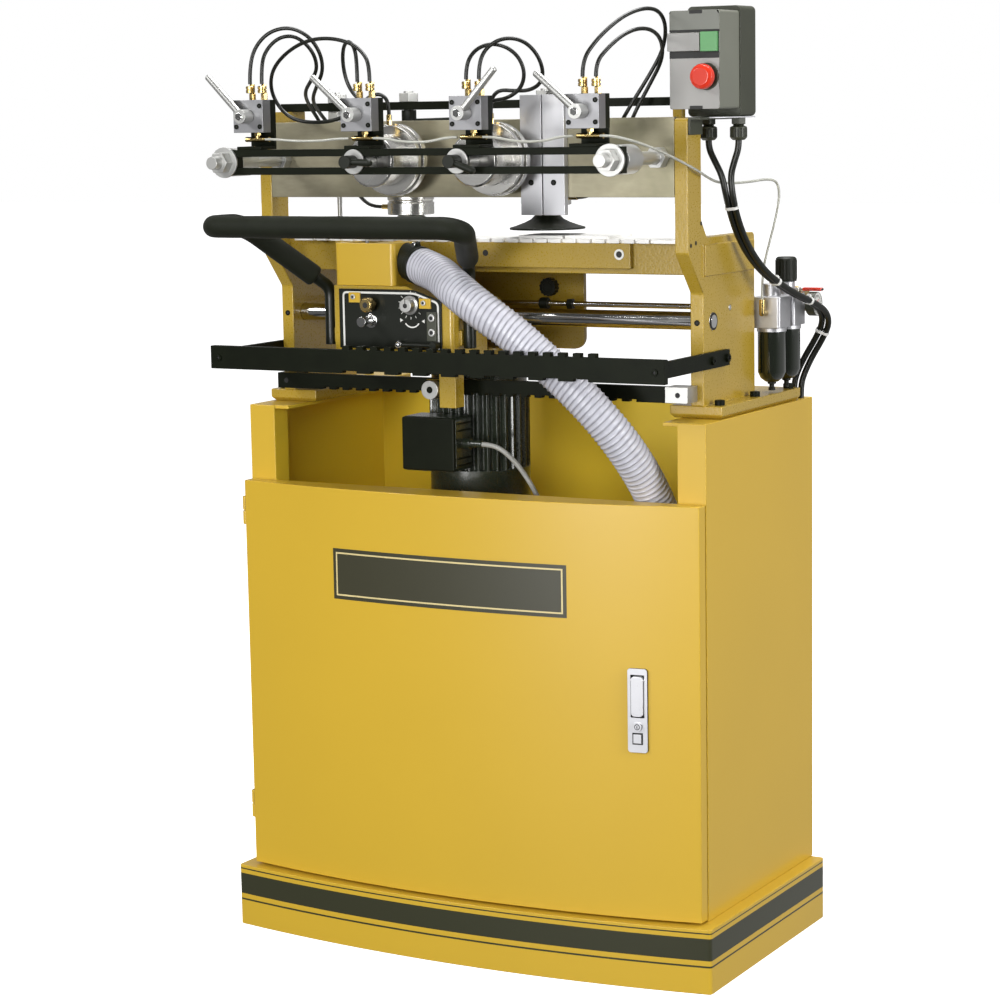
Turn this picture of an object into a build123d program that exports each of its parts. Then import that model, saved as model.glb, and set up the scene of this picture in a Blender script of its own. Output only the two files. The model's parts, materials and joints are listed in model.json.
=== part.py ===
from build123d import *
import math
import os

# Pneumatic dovetail machine. Millimetres, +X right, +Y to the back, +Z up.
# The origin is on the floor, in the middle of the plinth.

# Plinth, cabinet and door
sheet = 3.0
plinth_width = 872.0
plinth_front = -230.0
plinth_back = 228.0
plinth_height = 103.0
plinth_bow = 40.0
plinth_lip = 30.0
plinth_corner = 6.0
cabinet_width = 828.0
cabinet_front = -190.0
cabinet_back = 231.0
cabinet_height = 777.0
post_width = 48.0
post_depth = 40.0
ledge_width = 74.0
ledge_thickness = 6.0
window_height = 123.5
door_side_gap = 1.0
door_back_gap = 1.5
door_foot_gap = 3.5
door_edge = 22.5
door_bow = 42.0
door_flange = 13.0
hinge_radius = 5.0
hinge_pin_radius = 2.5
hinge_half = 23.0
hinge_gap = 1.0
hinge_leaf = 38.0
hinge_setback = 13.0
hinge_foot_rise = 74.5
hinge_head_drop = 75.5

# Door latch
latch_x = 316.0
latch_rise = 331.5
latch_width = 32.0
latch_height = 132.0
latch_lip = 4.0
latch_body_depth = 14.0
latch_body_margin = 3.5
paddle_width = 19.6
paddle_bottom = -9.0
paddle_top = 54.0
paddle_thickness = 7.5
paddle_pivot_z = 48.0
paddle_pivot_y = -3.0
paddle_pin_radius = 1.8
paddle_recess = 4.0

# Dust outlet in the back wall
outlet_x = 312.0
outlet_z = 585.0
outlet_radius = 31.0
outlet_wall = 2.0
outlet_length = 27.0
cable_outlet_x = 100.0
cable_collar = 8.0

# Cast frame
foot_thickness = 20.0
foot_inner = 324.0
foot_outer = 413.0
foot_front = -127.0
foot_back = 183.0
foot_chamfer = 6.0
span = 362.0
web_thickness = 22.0
web_front = -130.0
web_back = 65.0
column_front = -184.0
column_depth = 49.0
jog_start = 173.0
jog_end = 236.0
column_top = 440.0
table_rise = 255.0
shoulder_run = 20.0
shoulder_rise = 30.0
web_corner = 8.0
boss_proud = 4.0
boss_drop = 56.0
rod_rise = 128.0
rod_y = -94.0
rod_radius = 14.0
stop_rod_y = -30.0
stop_rod_rise = 145.0
stop_rod_radius = 4.5

# Table and fence
table_front = -135.0
table_casting = 48.0
table_slab = 18.0
beam_depth = 30.0
top_plate = 6.0
top_plate_gap = 17.0
top_plate_lip = 12.0
top_notch_width = 8.0
top_notch_depth = 6.0
top_notch_margin = 15.0
apron_half = 268.0
apron_thickness = 10.0
apron_height = 39.0
hanger_left = -132.0
hanger_right = 100.0
hanger_thickness = 10.0
hanger_drop = 188.0
hanger_corner = 20.0
stop_plate_size = (78.0, 80.0, 5.0)
stop_plate_corner = (70.0, -140.0)
stop_plate_pitch = 82.0
board_gap = 66.0
fence_height = 120.0
fence_thickness = 20.0

# Finger templates
pitch = 25.4
tooth = 12.7
comb_teeth = 18
comb_start = -154.5
comb_rise = 6.0
comb_notch = 4.0
bar_half = 404.0
bar_front = -312.0
bar_thickness = 12.0
bar_bottom = 51.0
bar_height = 37.0
arm_thickness = 8.0
arm_back = -50.0
arm_inset = 6.0
lower_half = 335.0
lower_front = -166.0
lower_thickness = 12.0
lower_bottom = 7.0
lower_height = 25.0
lower_notches = 23
end_block_width = 38.0

# Front clamp bar, its two rods and hardware
clamp_bar_half = 356.0
clamp_bar_front = -350.0
clamp_bar_thickness = 18.0
clamp_bar_height = 39.0
clamp_slot = 17.0
clamp_slot_half = 316.0
clamp_rod_x = 338.0
clamp_rod_radius = 10.0
clamp_rod_front = -388.0
clamp_sleeve_radius = 22.0
clamp_sleeve_length = 47.0
clamp_washer_radius = 24.0
clamp_washer = 4.0
clamp_nut_flat = 30.0
clamp_nut = 17.0
fit = 0.02

# Air cylinders
front_clamp_x = [-100.0, 82.0]
front_cap = -303.0
front_rear = -217.0
cylinder_radius = 41.0
flange_radius = 56.5
cylinder_head = 31.0
piston_radius = 10.0
running_fit = 0.05
pad_radius = 22.0
pad_thickness = 8.7
pad_clear = 0.3
stud_radius = 8.0
stud_front = -372.0
spacer_radius = 12.0
stud_washer_radius = 19.0
stud_washer = 3.0
down_clamp_x = [-150.0, 100.0]
down_clamp_y = -98.0
down_clamp_bottom = 51.0
down_clamp_length = 94.0
down_clamp_radius = 38.0
foot_pad_radius = 60.0
foot_pad_lift = 13.0
foot_pad_height = 22.0
foot_neck_radius = 20.0
foot_head_room = [4.0, 17.0]

# Rail over the fence, side fence and side stop
rail_lift = 17.0
rail_thickness = 13.0
rail_depth = 40.0
rail_slot = 17.0
rail_slot_half = 320.0
rail_bracket_x = 337.0
rail_bracket_width = 16.0
rail_bracket_wall = 12.0
rail_bracket_drop = 50.0
rail_shoe_inset = 9.0
side_fence_left = 106.0
side_fence_bar = 37.0
side_fence_gap = 2.0
side_fence_thickness = 12.0
side_fence_drop = 27.0
side_fence_rise = 37.0
side_stop_x = -286.0
side_stop_radius = 4.0
side_stop_foot = 7.0

# Hand valves
valve_x = [-292.5, -95.0, 96.5, 292.5]
valve_width = 55.0
valve_height = 50.5
valve_lift = 26.5
valve_plate = 22.0
valve_depth = 18.0
valve_shaft_radius = 6.0
bracket_wall = 5.0
lever_hub_radius = 11.0
lever_hub_length = 24.0
lever_length = 89.7
lever_root_radius = 5.5
lever_tip_radius = 5.2
lever_lean = [-45.0, -49.0, 43.0, -50.0]
fitting_pitch = 22.0
fitting_height = 24.5
tee_half = 22.0
tee_radius = 4.0

# Ratchet levers
ratchet_hub_radius = 10.0
ratchet_hub_length = 26.0
ratchet_reach = 44.0
ratchet_arm_radius = 4.5
rail_lever_reach = 84.0
rail_lever_turn = -8.0

# Switch box
switch_left = 345.0
switch_width = 88.0
switch_base_front = -97.0
switch_base_back = -40.0
switch_base_height = 166.0
switch_cover_depth = 73.0
switch_cover_inset = 4.0
switch_cover_lift = 12.0
switch_cover_height = 146.0
switch_corner = 8.0
stop_x = 410.0
stop_rise = 60.0
stop_cap_radius = 19.0
stop_stem_radius = 9.0
stop_travel_gap = 11.0
start_left = 402.0
start_size = (27.0, 29.0)
start_rise = 97.0
start_proud = 6.0
start_pocket = 15.0
button_gap = 0.4
gland_x = [368.0, 418.0]
gland_y = -72.0
gland_radius = 13.0
gland_length = 36.0
gland_nut_flat = 20.0
bracket_shelf = 20.0
shelf_flange = 26.0

# Air preparation unit
air_x = 398.0
air_y = [100.0, 160.0]
air_body = 48.0
air_body_bottom = 104.0
air_body_height = 50.0
bowl_radius = 22.5
bowl_length = 87.0
bonnet_radius = 14.0
bonnet_height = 20.0
knob_radius = 17.0
knob_height = 39.0
air_bracket_wall = 12.0
gauge_radius = 19.5
gauge_depth = 18.0
gauge_drop = 4.0
valve_block = 36.0
shutoff_rise = 10.0
inlet_radius = 6.6
inlet_depth = 14.0
shutoff_stem_radius = 4.0
shutoff_stem = 8.0
shutoff_lever_length = 46.0

# Carriage on the main rod
casting_left = -219.0
casting_right = 1.0
casting_front = -232.0
casting_back = -122.0
casting_bottom = 68.0
casting_height = 115.0
casting_wall = 11.0
housing_radius = 32.0
bush_radius = 20.0
bush_length = 60.0
bush_inset = 6.0
chamber_left = -200.0
chamber_right = -90.0
panel_right = -18.0
corner_cut_x = 85.0
corner_cut_z = 28.0
chamber_bottom = 90.0
chamber_height = 82.0
chamber_back = -134.0
panel_margin = 6.0
panel_thickness = 3.0
spindle_x = -178.0
spindle_y = -190.0
spindle_boss_radius = 24.0
spindle_radius = 8.0
spindle_pulley_radius = 14.0
collet_radius = 14.0
collet_rise = 34.0
cutter_radius = 6.35
cutter_tip = 268.0
motor_x = -55.0
motor_y = -52.0
motor_pulley_radius = 42.0
belt_thickness = 2.5
belt_width = 10.0
belt_box_bottom = 44.0
belt_box_floor = 5.0
belt_box_cavity = 19.0
belt_box_lid = 8.0
belt_box_wall = 11.0
hood_left = -217.0
hood_right = -106.0
hood_front = -228.0
hood_back = -162.0
hood_height = 67.0
hood_slot = (-206.0, -150.0)
port_end = (-84.0, -198.0, 216.0)
port_turn = -20.4
port_dip = 11.4
port_radius = 28.0
port_length = 48.0
port_wall = 2.0
follower_left = -26.0
follower_right = 4.0
follower_back = -205.0
follower_drop = 75.0
roller_x = -41.5
roller_rise = 21.0
roller_radius = 15.0
roller_width = 14.0
roller_pin_radius = 5.0
follower_plate_front = -222.0
follower_plate_back = -212.0

# Handle
handle_radius = 10.0
grip_radius = 17.5
grip_fit = 0.1
handle_y = -205.0
handle_left_x = -240.0
handle_right_x = 16.0
handle_foot = 86.0
handle_left_bend = 176.5
handle_right_bend = 218.0
handle_bar_y = -400.0
handle_bar_rise = 283.0
handle_bar_left = -340.0
handle_bar_right = 118.0
handle_left_run = 95.0
handle_bend = 24.0
handle_back_bend = 60.0
handle_low_bend = 26.0
grip_start = 0.17
handle_pad = 8.0

# Motor
motor_radius = 82.0
motor_core_radius = 74.0
motor_fins = 32
motor_flange = 12.0
motor_flange_radius = 84.0
motor_bell = 17.0
motor_fin_length = 136.0
motor_cowl = 79.0
motor_shaft_radius = 10.0
motor_shaft_depth = 50.0
terminal_left = -124.0
terminal_width = 99.0
terminal_front = -184.0
terminal_depth = 50.0
terminal_bottom = -116.0
terminal_height = 88.0
terminal_corner = 8.0
terminal_gland = 34.0
terminal_gland_radius = 6.0

# Panel fittings
index_x = -73.0
index_rise = 154.0
index_radius = 11.0
index_length = 18.0
brass_x = -144.0
brass_radius = 11.5
plunger_x = -146.0
plunger_rise = 128.0
plunger_radius = 8.0
plunger_length = 32.0
lock_x = -26.0
lock_rise = 92.0
lock_radius = 6.0
lock_reach = 64.0
fitting_shaft = 4.0

# Derived heights and places
deck = plinth_height + cabinet_height
base = deck + foot_thickness
table_top = base + table_rise
rod_z = base + rod_rise
stop_rod_z = base + stop_rod_rise
fence_bottom = table_top + board_gap
fence_top = fence_bottom + fence_height
clamp_z = (fence_bottom + fence_top) / 2
clamp_bar_top = clamp_z + clamp_bar_height / 2
clamp_bar_back = clamp_bar_front + clamp_bar_thickness
fence_back = column_front + fence_thickness
rail_bottom = fence_top + rail_lift
rail_top = rail_bottom + rail_thickness
column_z = base + column_top
web_outer = span + web_thickness
valve_bottom = clamp_bar_top + valve_lift
valve_top = valve_bottom + valve_height
valve_mid = valve_bottom + valve_height / 2
valve_body_front = clamp_bar_front + valve_plate
valve_body_back = valve_body_front + valve_depth
tee_z = (clamp_bar_top + bracket_wall + valve_bottom) / 2
down_bottom = table_top + down_clamp_bottom
down_top = down_bottom + down_clamp_length
bell_low = table_top + foot_pad_lift
bell_high = bell_low + foot_pad_height
down_drop = [down_bottom - bell_high - pad_clear, 0.0]
switch_bottom = column_z


def block(x0, x1, y0, y1, z0, z1):
    middle = Pos((x0 + x1) / 2, (y0 + y1) / 2, (z0 + z1) / 2)
    return middle * Box(x1 - x0, y1 - y0, z1 - z0)


def bar_x(x0, x1, y, z, radius):
    return Pos((x0 + x1) / 2, y, z) * Rot(0, 90, 0) * Cylinder(radius, x1 - x0)


def bar_y(x, y0, y1, z, radius):
    return Pos(x, (y0 + y1) / 2, z) * Rot(90, 0, 0) * Cylinder(radius, y1 - y0)


def bar_z(x, y, z0, z1, radius):
    return Pos(x, y, (z0 + z1) / 2) * Cylinder(radius, z1 - z0)


# A turned piece: pairs of radius and height, spun about +Z
def turned(profile):
    outline = make_face(Polyline(*profile, close=True))
    return revolve(Plane.XZ * outline, Axis.Z)


def along_y(x, z, piece):
    return Pos(x, 0, z) * Rot(-90, 0, 0) * piece


def hexagon_y(x, y0, y1, z, flat):
    face = RegularPolygon(flat / 2, 6, major_radius=False)
    return Pos(x, y1, z) * Rot(90, 0, 0) * extrude(face, y1 - y0)


def hexagon_z(x, y, z0, z1, flat):
    return Pos(x, y, z0) * extrude(RegularPolygon(flat / 2, 6, major_radius=False), z1 - z0)


# A plan outline with square back corners and a bowed front
def bowed_plan(half, back, front, bow):
    left = (-half, front)
    right = (half, front)
    curve = ThreePointArc(left, (0, front - bow), right)
    rest = Polyline(right, (half, back), (-half, back), left)
    return make_face(curve.edges() + rest.edges())


def hull_of(circles):
    rims = []
    for x, y, radius in circles:
        rims += (Pos(x, y) * Circle(radius)).edges()
    return make_hull(rims)


def save(name, *pieces):
    solids = []
    for piece in pieces:
        solids += piece.solids()
    whole = solids[0] if len(solids) == 1 else Compound(children=solids)
    export_step(whole, f"parts/{name}.step")


def mirrored(piece):
    return mirror(piece, about=Plane.YZ)


os.makedirs("parts", exist_ok=True)

# Plinth: a bowed sheet box, open below, with a lip that stands on the floor
plinth_half = plinth_width / 2
plinth = extrude(bowed_plan(plinth_half, plinth_back, plinth_front, plinth_bow), plinth_height)
plinth = fillet(plinth.edges().filter_by(Axis.Z), plinth_corner)
plinth_inner = bowed_plan(plinth_half - sheet, plinth_back - sheet, plinth_front + sheet, plinth_bow)
plinth -= Pos(0, 0, sheet) * extrude(plinth_inner, plinth_height - 2 * sheet)
plinth_mouth = bowed_plan(
    plinth_half - plinth_lip, plinth_back - plinth_lip, plinth_front + plinth_lip, plinth_bow
)
plinth -= extrude(plinth_mouth, 2 * sheet)
save("plinth", plinth)

# Cabinet: sheet walls, floor, two front posts and two ledges that carry the castings
cabinet_half = cabinet_width / 2
floor = plinth_height
cabinet = block(-cabinet_half, cabinet_half, cabinet_front, cabinet_back, floor, deck)
wall_in = cabinet_half - sheet
cabinet -= block(-wall_in, wall_in, cabinet_front + sheet, cabinet_back - sheet, floor + sheet, deck + sheet)
post_in = cabinet_half - post_width
cabinet -= block(
    -post_in, post_in, cabinet_front - sheet, cabinet_front + 2 * sheet, floor + sheet, deck + sheet
)
post_return = block(
    post_in, post_in + sheet, cabinet_front, cabinet_front + post_depth, floor + sheet, deck - ledge_thickness
)
ledge = block(
    cabinet_half - ledge_width, wall_in, cabinet_front + sheet, cabinet_back - sheet,
    deck - ledge_thickness, deck
)
cabinet += [post_return, mirrored(post_return), ledge, mirrored(ledge)]
spigot_end = cabinet_back - sheet + outlet_length
cabinet += bar_y(outlet_x, cabinet_back - sheet, spigot_end, outlet_z, outlet_radius)
outlet_bore = bar_y(
    outlet_x, cabinet_back - 2 * sheet, spigot_end + sheet, outlet_z, outlet_radius - outlet_wall
)
cabinet -= outlet_bore
cabinet += bar_y(cable_outlet_x, cabinet_back - 3 * sheet, cabinet_back - sheet, outlet_z, cable_collar)
door_low = plinth_height + door_foot_gap
door_high = deck - window_height
hinge_heights = [door_low + hinge_foot_rise, door_high - hinge_head_drop]
hinge_x = -cabinet_half - hinge_radius
hinge_y = cabinet_front - hinge_setback
door_half = cabinet_half - door_side_gap
for hinge_z in hinge_heights:
    cabinet += bar_z(hinge_x, hinge_y, hinge_z, hinge_z + hinge_half, hinge_radius)
    cabinet += block(
        hinge_x + hinge_radius - sheet, -cabinet_half, hinge_y, hinge_y + hinge_leaf, hinge_z,
        hinge_z + hinge_half
    )
    pin_top = hinge_z + 2 * hinge_half
    cabinet += bar_z(hinge_x, hinge_y, hinge_z, pin_top, hinge_pin_radius)
save("cabinet", cabinet)

# Door: a bowed pan with returned edges and a closed top
door_back = cabinet_front - door_back_gap
door_front = door_back - door_edge
door = extrude(bowed_plan(door_half, door_back, door_front, door_bow), door_high - door_low)
door_pocket = bowed_plan(door_half - sheet, door_back + sheet, door_front + sheet, door_bow)
door -= Pos(0, 0, sheet) * extrude(door_pocket, door_high - door_low - 2 * sheet)
door_mouth = bowed_plan(door_half - door_flange, door_back + sheet, door_front + door_flange, door_bow)
door -= extrude(door_mouth, door_high - door_low - sheet)
door = Pos(0, 0, door_low) * door
door_arc = (door_half**2 + door_bow**2) / (2 * door_bow)
door_centre = door_front - door_bow + door_arc
latch_turn = math.degrees(math.asin(latch_x / door_arc))
latch_y = door_centre - math.sqrt(door_arc**2 - latch_x**2)
latch_z = door_low + latch_rise
latch_place = Pos(latch_x, latch_y, latch_z) * Rot(0, 0, latch_turn)
body_half = latch_width / 2 - latch_body_margin
body_tall = latch_height / 2 - 2 * latch_body_margin
latch_hole = block(
    -body_half - button_gap, body_half + button_gap, -2 * sheet, 3 * sheet, -body_tall - button_gap,
    body_tall + button_gap
)
door -= latch_place * latch_hole
for hinge_z in hinge_heights:
    knuckle_low = hinge_z + hinge_half + hinge_gap
    knuckle_high = knuckle_low + hinge_half
    knuckle = bar_z(hinge_x, hinge_y, knuckle_low, knuckle_high, hinge_radius)
    knuckle += block(
        hinge_x, -door_half + sheet / 2, hinge_y - hinge_radius + 1, hinge_y + hinge_radius - 1,
        knuckle_low, knuckle_high
    )
    knuckle -= bar_z(hinge_x, hinge_y, knuckle_low - 1, knuckle_high + 1, hinge_pin_radius + running_fit)
    door += knuckle
save("door", door)

# Latch housing with its recess, pin, key barrel and push button, then the paddle
lip_gap = 0.1
latch_lip_face = RectangleRounded(latch_width, latch_height, 5)
housing = Pos(0, -lip_gap, 0) * Rot(90, 0, 0) * extrude(latch_lip_face, latch_lip)
housing += block(-body_half, body_half, -lip_gap, latch_body_depth, -body_tall, body_tall)
recess_half = paddle_width / 2 + 1
housing -= block(
    -recess_half, recess_half, -2 * latch_lip, paddle_recess, paddle_bottom - 2, paddle_top + 2
)
housing += bar_x(-recess_half - 1, recess_half + 1, paddle_pivot_y, paddle_pivot_z, paddle_pin_radius)
key_z = paddle_bottom - 16
housing += bar_y(0, -latch_lip - 3, -lip_gap, key_z, 7)
housing += block(-6.5, 6.5, -latch_lip - 2.5, -lip_gap, key_z - 26, key_z - 12)
save("latch_housing", latch_place * housing)
paddle_half = paddle_width / 2
paddle_face = RectangleRounded(paddle_width, paddle_top - paddle_bottom, 6)
paddle_mid = (paddle_top + paddle_bottom) / 2
paddle = Pos(0, 0, paddle_mid) * Rot(90, 0, 0) * extrude(paddle_face, paddle_thickness)
paddle -= bar_x(
    -paddle_half - 1, paddle_half + 1, paddle_pivot_y, paddle_pivot_z, paddle_pin_radius + running_fit
)
save("latch_handle", latch_place * paddle)

# Uprights: one casting profile, with a foot, a proud boss and the rod bores
web_points = [
    (web_front, base),
    (web_front, base + jog_start),
    (column_front, base + jog_end),
    (column_front, column_z),
    (column_front + column_depth, column_z),
    (column_front + column_depth, table_top + shoulder_rise),
    (column_front + column_depth + shoulder_run, table_top + sheet),
    (web_back, table_top + sheet),
    (web_back, base),
]
web_face = make_face(Polyline(*web_points, close=True))
web_face = fillet(web_face.vertices().filter_by(lambda v: v.Y > base + 1), web_corner)
upright = Plane.YZ * extrude(web_face, web_thickness)
upright = Pos(span, 0, 0) * upright
foot = block(foot_inner, foot_outer, foot_front, foot_back, deck, base)
foot = chamfer(foot.faces().sort_by(Axis.Z)[0].edges(), foot_chamfer)
boss = block(
    web_outer, web_outer + boss_proud, web_front, web_back - web_corner, table_top - boss_drop,
    table_top - web_corner
)
upright += [foot, boss]
upright -= bar_x(foot_inner, foot_outer, rod_y, rod_z, rod_radius + fit)
upright -= bar_x(foot_inner, foot_outer, stop_rod_y, stop_rod_z, stop_rod_radius + fit)
save("uprights", upright, mirrored(upright))

# Guide rods between the uprights
main_rod = bar_x(-web_outer, web_outer, rod_y, rod_z, rod_radius)
stop_rod = bar_x(-web_outer, web_outer, stop_rod_y, stop_rod_z, stop_rod_radius)
save("guide_rods", main_rod, stop_rod)

# Table: a channel casting, its ground top plate and two loose stop plates
casting_top = table_top - top_plate
casting_low = casting_top - table_casting
table = block(-span, span, table_front, web_back, casting_low, casting_top)
table -= block(
    -span + beam_depth, span - beam_depth, table_front + beam_depth, web_back - beam_depth, casting_low - 1,
    casting_top - table_slab
)
save("table", table)
top_plate_half = span - top_plate_gap
ground_top = block(
    -top_plate_half, top_plate_half, table_front - top_plate_lip, web_back - sheet, casting_top, table_top
)
notch_count = 2 * int((top_plate_half - top_notch_margin) / pitch) + 1
for i in range(notch_count):
    x = (i - (notch_count - 1) / 2) * pitch
    front = table_front - top_plate_lip
    ground_top -= block(
        x - top_notch_width / 2, x + top_notch_width / 2, front - 1, front + top_notch_depth,
        casting_top - 1, table_top + 1
    )
stop_plates = []
plate_x, plate_y = stop_plate_corner
plate_w, plate_d, plate_t = stop_plate_size
for i in range(2):
    x0 = plate_x + i * stop_plate_pitch
    stop_plates.append(block(x0, x0 + plate_w, plate_y, plate_y + plate_d, table_top, table_top + plate_t))
save("table_plate", ground_top, *stop_plates)

# Apron in front of the table and a hanger plate under it
apron = block(
    -apron_half, apron_half, table_front - apron_thickness, table_front, casting_top - apron_height,
    casting_top
)
hanger_back = web_back - beam_depth
hanger_top = casting_top - table_slab
hanger = block(
    hanger_left, hanger_right, hanger_back - hanger_thickness, hanger_back, table_top - hanger_drop,
    hanger_top
)
hanger_feet = hanger.edges().filter_by(Axis.Y).group_by(Axis.Z)[0]
hanger = fillet(hanger_feet, hanger_corner)
save("table_panels", apron, hanger)

# Ground fence plate between the columns
save("fence_plate", block(-span, span, column_front, fence_back, fence_bottom, fence_top))

# Front finger template: teeth at one pitch on top, double pitch below, on two arms
bar_low = base + bar_bottom
bar_high = bar_low + bar_height
bar_back = bar_front + bar_thickness
template = block(-bar_half, bar_half, bar_front, bar_back, bar_low, bar_high)
template += [
    block(
        comb_start + i * pitch, comb_start + i * pitch + tooth, bar_front, bar_back, bar_high,
        bar_high + comb_rise
    )
    for i in range(comb_teeth)
]
template -= [
    block(
        comb_start + 2 * i * pitch, comb_start + (2 * i + 1) * pitch, bar_front, bar_back, bar_low,
        bar_low + comb_notch
    )
    for i in range(comb_teeth // 2)
]
arm = block(
    web_outer, web_outer + arm_thickness, bar_back, arm_back, bar_low + arm_inset, bar_high - arm_inset
)
save("template_bar", template, arm, mirrored(arm))

# Lower finger template with a block at each end
lower_low = base + lower_bottom
lower_high = lower_low + lower_height
lower_back = lower_front + lower_thickness
lower = block(-lower_half, lower_half, lower_front, lower_back, lower_low, lower_high)
lower -= [
    block(
        (i - (lower_notches - 1) / 2) * pitch - tooth / 2, (i - (lower_notches - 1) / 2) * pitch + tooth / 2,
        lower_front, lower_back, lower_low, lower_low + comb_notch
    )
    for i in range(lower_notches)
]
end_block = block(lower_half, lower_half + end_block_width, lower_front, web_front, lower_low, lower_high)
save("lower_template", lower, end_block, mirrored(end_block))

# Slotted front clamp bar and the four valve brackets on it
clamp_bar = block(
    -clamp_bar_half, clamp_bar_half, clamp_bar_front, clamp_bar_back, clamp_bar_top - clamp_bar_height,
    clamp_bar_top
)
clamp_bar -= block(
    -clamp_slot_half, clamp_slot_half, clamp_bar_front, clamp_bar_back, clamp_z - clamp_slot / 2,
    clamp_z + clamp_slot / 2
)
for side in (-1, 1):
    clamp_bar -= bar_y(side * clamp_rod_x, clamp_bar_front, clamp_bar_back, clamp_z, clamp_rod_radius + fit)
brackets = []
for x in valve_x:
    half = valve_width / 2 - bracket_wall
    bracket = block(
        x - half, x + half, clamp_bar_front, valve_body_back + bracket_wall, clamp_bar_top,
        clamp_bar_top + bracket_wall
    )
    bracket += block(
        x - half, x + half, valve_body_back, valve_body_back + bracket_wall, clamp_bar_top,
        valve_top - bracket_wall
    )
    brackets.append(bracket)
save("clamp_bar", clamp_bar, *brackets)


# Clamp rods, cylinder studs and side stop, each with its nuts, washers and sleeves
hardware = []
nut_back = clamp_bar_front - clamp_washer
sleeve_back = clamp_bar_back + clamp_sleeve_length
for side in (-1, 1):
    x = side * clamp_rod_x
    rod = bar_y(x, clamp_rod_front, column_front, clamp_z, clamp_rod_radius)
    rod += bar_y(x, nut_back, clamp_bar_front, clamp_z, clamp_washer_radius)
    rod += hexagon_y(x, nut_back - clamp_nut, nut_back, clamp_z, clamp_nut_flat)
    rod += bar_y(x, clamp_bar_back, sleeve_back, clamp_z, clamp_sleeve_radius)
    rod += hexagon_y(x, column_front - clamp_nut, column_front, clamp_z, clamp_nut_flat)
    hardware.append(rod)
rail_lever_high = rail_bottom - pad_clear
rail_lever_low = rail_lever_high - ratchet_hub_length
for x in front_clamp_x:
    stud = bar_y(x, stud_front, front_cap, clamp_z, stud_radius)
    stud += bar_y(x, clamp_bar_front - stud_washer, clamp_bar_front, clamp_z, stud_washer_radius)
    stud += bar_y(x, clamp_bar_back, front_cap, clamp_z, spacer_radius)
    hardware.append(stud)
stud_top = rail_top + clamp_nut
nut_top = stud_top - sheet
for x, drop in zip(down_clamp_x, down_drop):
    spacer_top = rail_lever_low - pad_clear if x < 0 else rail_bottom
    stud = bar_z(x, down_clamp_y, down_top - drop, stud_top, stud_radius)
    stud += bar_z(x, down_clamp_y, down_top - drop, spacer_top, spacer_radius)
    stud += hexagon_z(x, down_clamp_y, rail_top, nut_top, clamp_nut_flat)
    hardware.append(stud)
side_stop = bar_z(side_stop_x, down_clamp_y, table_top + side_stop_foot, stud_top, side_stop_radius)
side_stop += hexagon_z(side_stop_x, down_clamp_y, rail_bottom - clamp_nut, rail_bottom, clamp_nut_flat)
side_stop += hexagon_z(side_stop_x, down_clamp_y, rail_top, nut_top, clamp_nut_flat)
hardware.append(side_stop)
save("clamp_hardware", *hardware)

# Air cylinders: two lying on the clamp bar, two hanging from the rail
piston_bore = piston_radius + running_fit
front_floor = front_cap + 27
front_profile = [
    (0, front_cap),
    (cylinder_radius - 3, front_cap),
    (cylinder_radius, front_cap + 3),
    (cylinder_radius, front_cap + 12),
    (cylinder_radius - 2, front_cap + 14),
    (cylinder_radius - 2, front_rear - cylinder_head),
    (flange_radius - 2.5, front_rear - cylinder_head),
    (flange_radius - 2.5, front_rear - 22),
    (flange_radius - 6.5, front_rear - 22),
    (flange_radius - 6.5, front_rear - 18),
    (flange_radius, front_rear - 18),
    (flange_radius, front_rear - 7),
    (flange_radius - 4.5, front_rear - 7),
    (flange_radius - 4.5, front_rear),
    (piston_bore, front_rear),
    (piston_bore, front_floor),
    (0, front_floor),
]
down_ceiling = down_top - 15
down_profile = [
    (0, down_top),
    (down_clamp_radius - 3, down_top),
    (down_clamp_radius, down_top - 3),
    (down_clamp_radius, down_bottom + 24),
    (down_clamp_radius - 2, down_bottom + 23),
    (down_clamp_radius - 2, down_bottom + 20),
    (down_clamp_radius, down_bottom + 19),
    (down_clamp_radius, down_bottom),
    (piston_bore, down_bottom),
    (piston_bore, down_ceiling),
    (0, down_ceiling),
]
cylinders = [along_y(x, clamp_z, turned(front_profile)) for x in front_clamp_x]
cylinders += [Pos(x, down_clamp_y, -drop) * turned(down_profile) for x, drop in zip(down_clamp_x, down_drop)]
save("clamp_cylinders", *cylinders)

# Front pistons with pads, and the bell feet of the vertical clamps
pad_face = front_rear + pad_clear + pad_thickness
piston_profile = [
    (0, front_floor + 5),
    (piston_radius, front_floor + 5),
    (piston_radius, front_rear + pad_clear),
    (pad_radius, front_rear + pad_clear),
    (pad_radius, pad_face - 2),
    (pad_radius - 2, pad_face),
    (0, pad_face),
]
for name, x in zip(("front_piston_left", "front_piston_right"), front_clamp_x):
    save(name, along_y(x, clamp_z, turned(piston_profile)))
for i, name in enumerate(("clamp_foot_left", "clamp_foot_right")):
    piston_head = down_ceiling - down_drop[i] - foot_head_room[i]
    bell_profile = [
        (0, bell_low),
        (foot_pad_radius, bell_low),
        (foot_pad_radius, bell_low + 3),
        (foot_pad_radius - 9, bell_low + 5.5),
        (foot_neck_radius + 16, bell_low + 11),
        (foot_neck_radius + 6, bell_low + 16),
        (foot_neck_radius, bell_high),
        (piston_radius, bell_high),
        (piston_radius, piston_head),
        (0, piston_head),
    ]
    save(name, Pos(down_clamp_x[i], down_clamp_y, 0) * turned(bell_profile))

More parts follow.
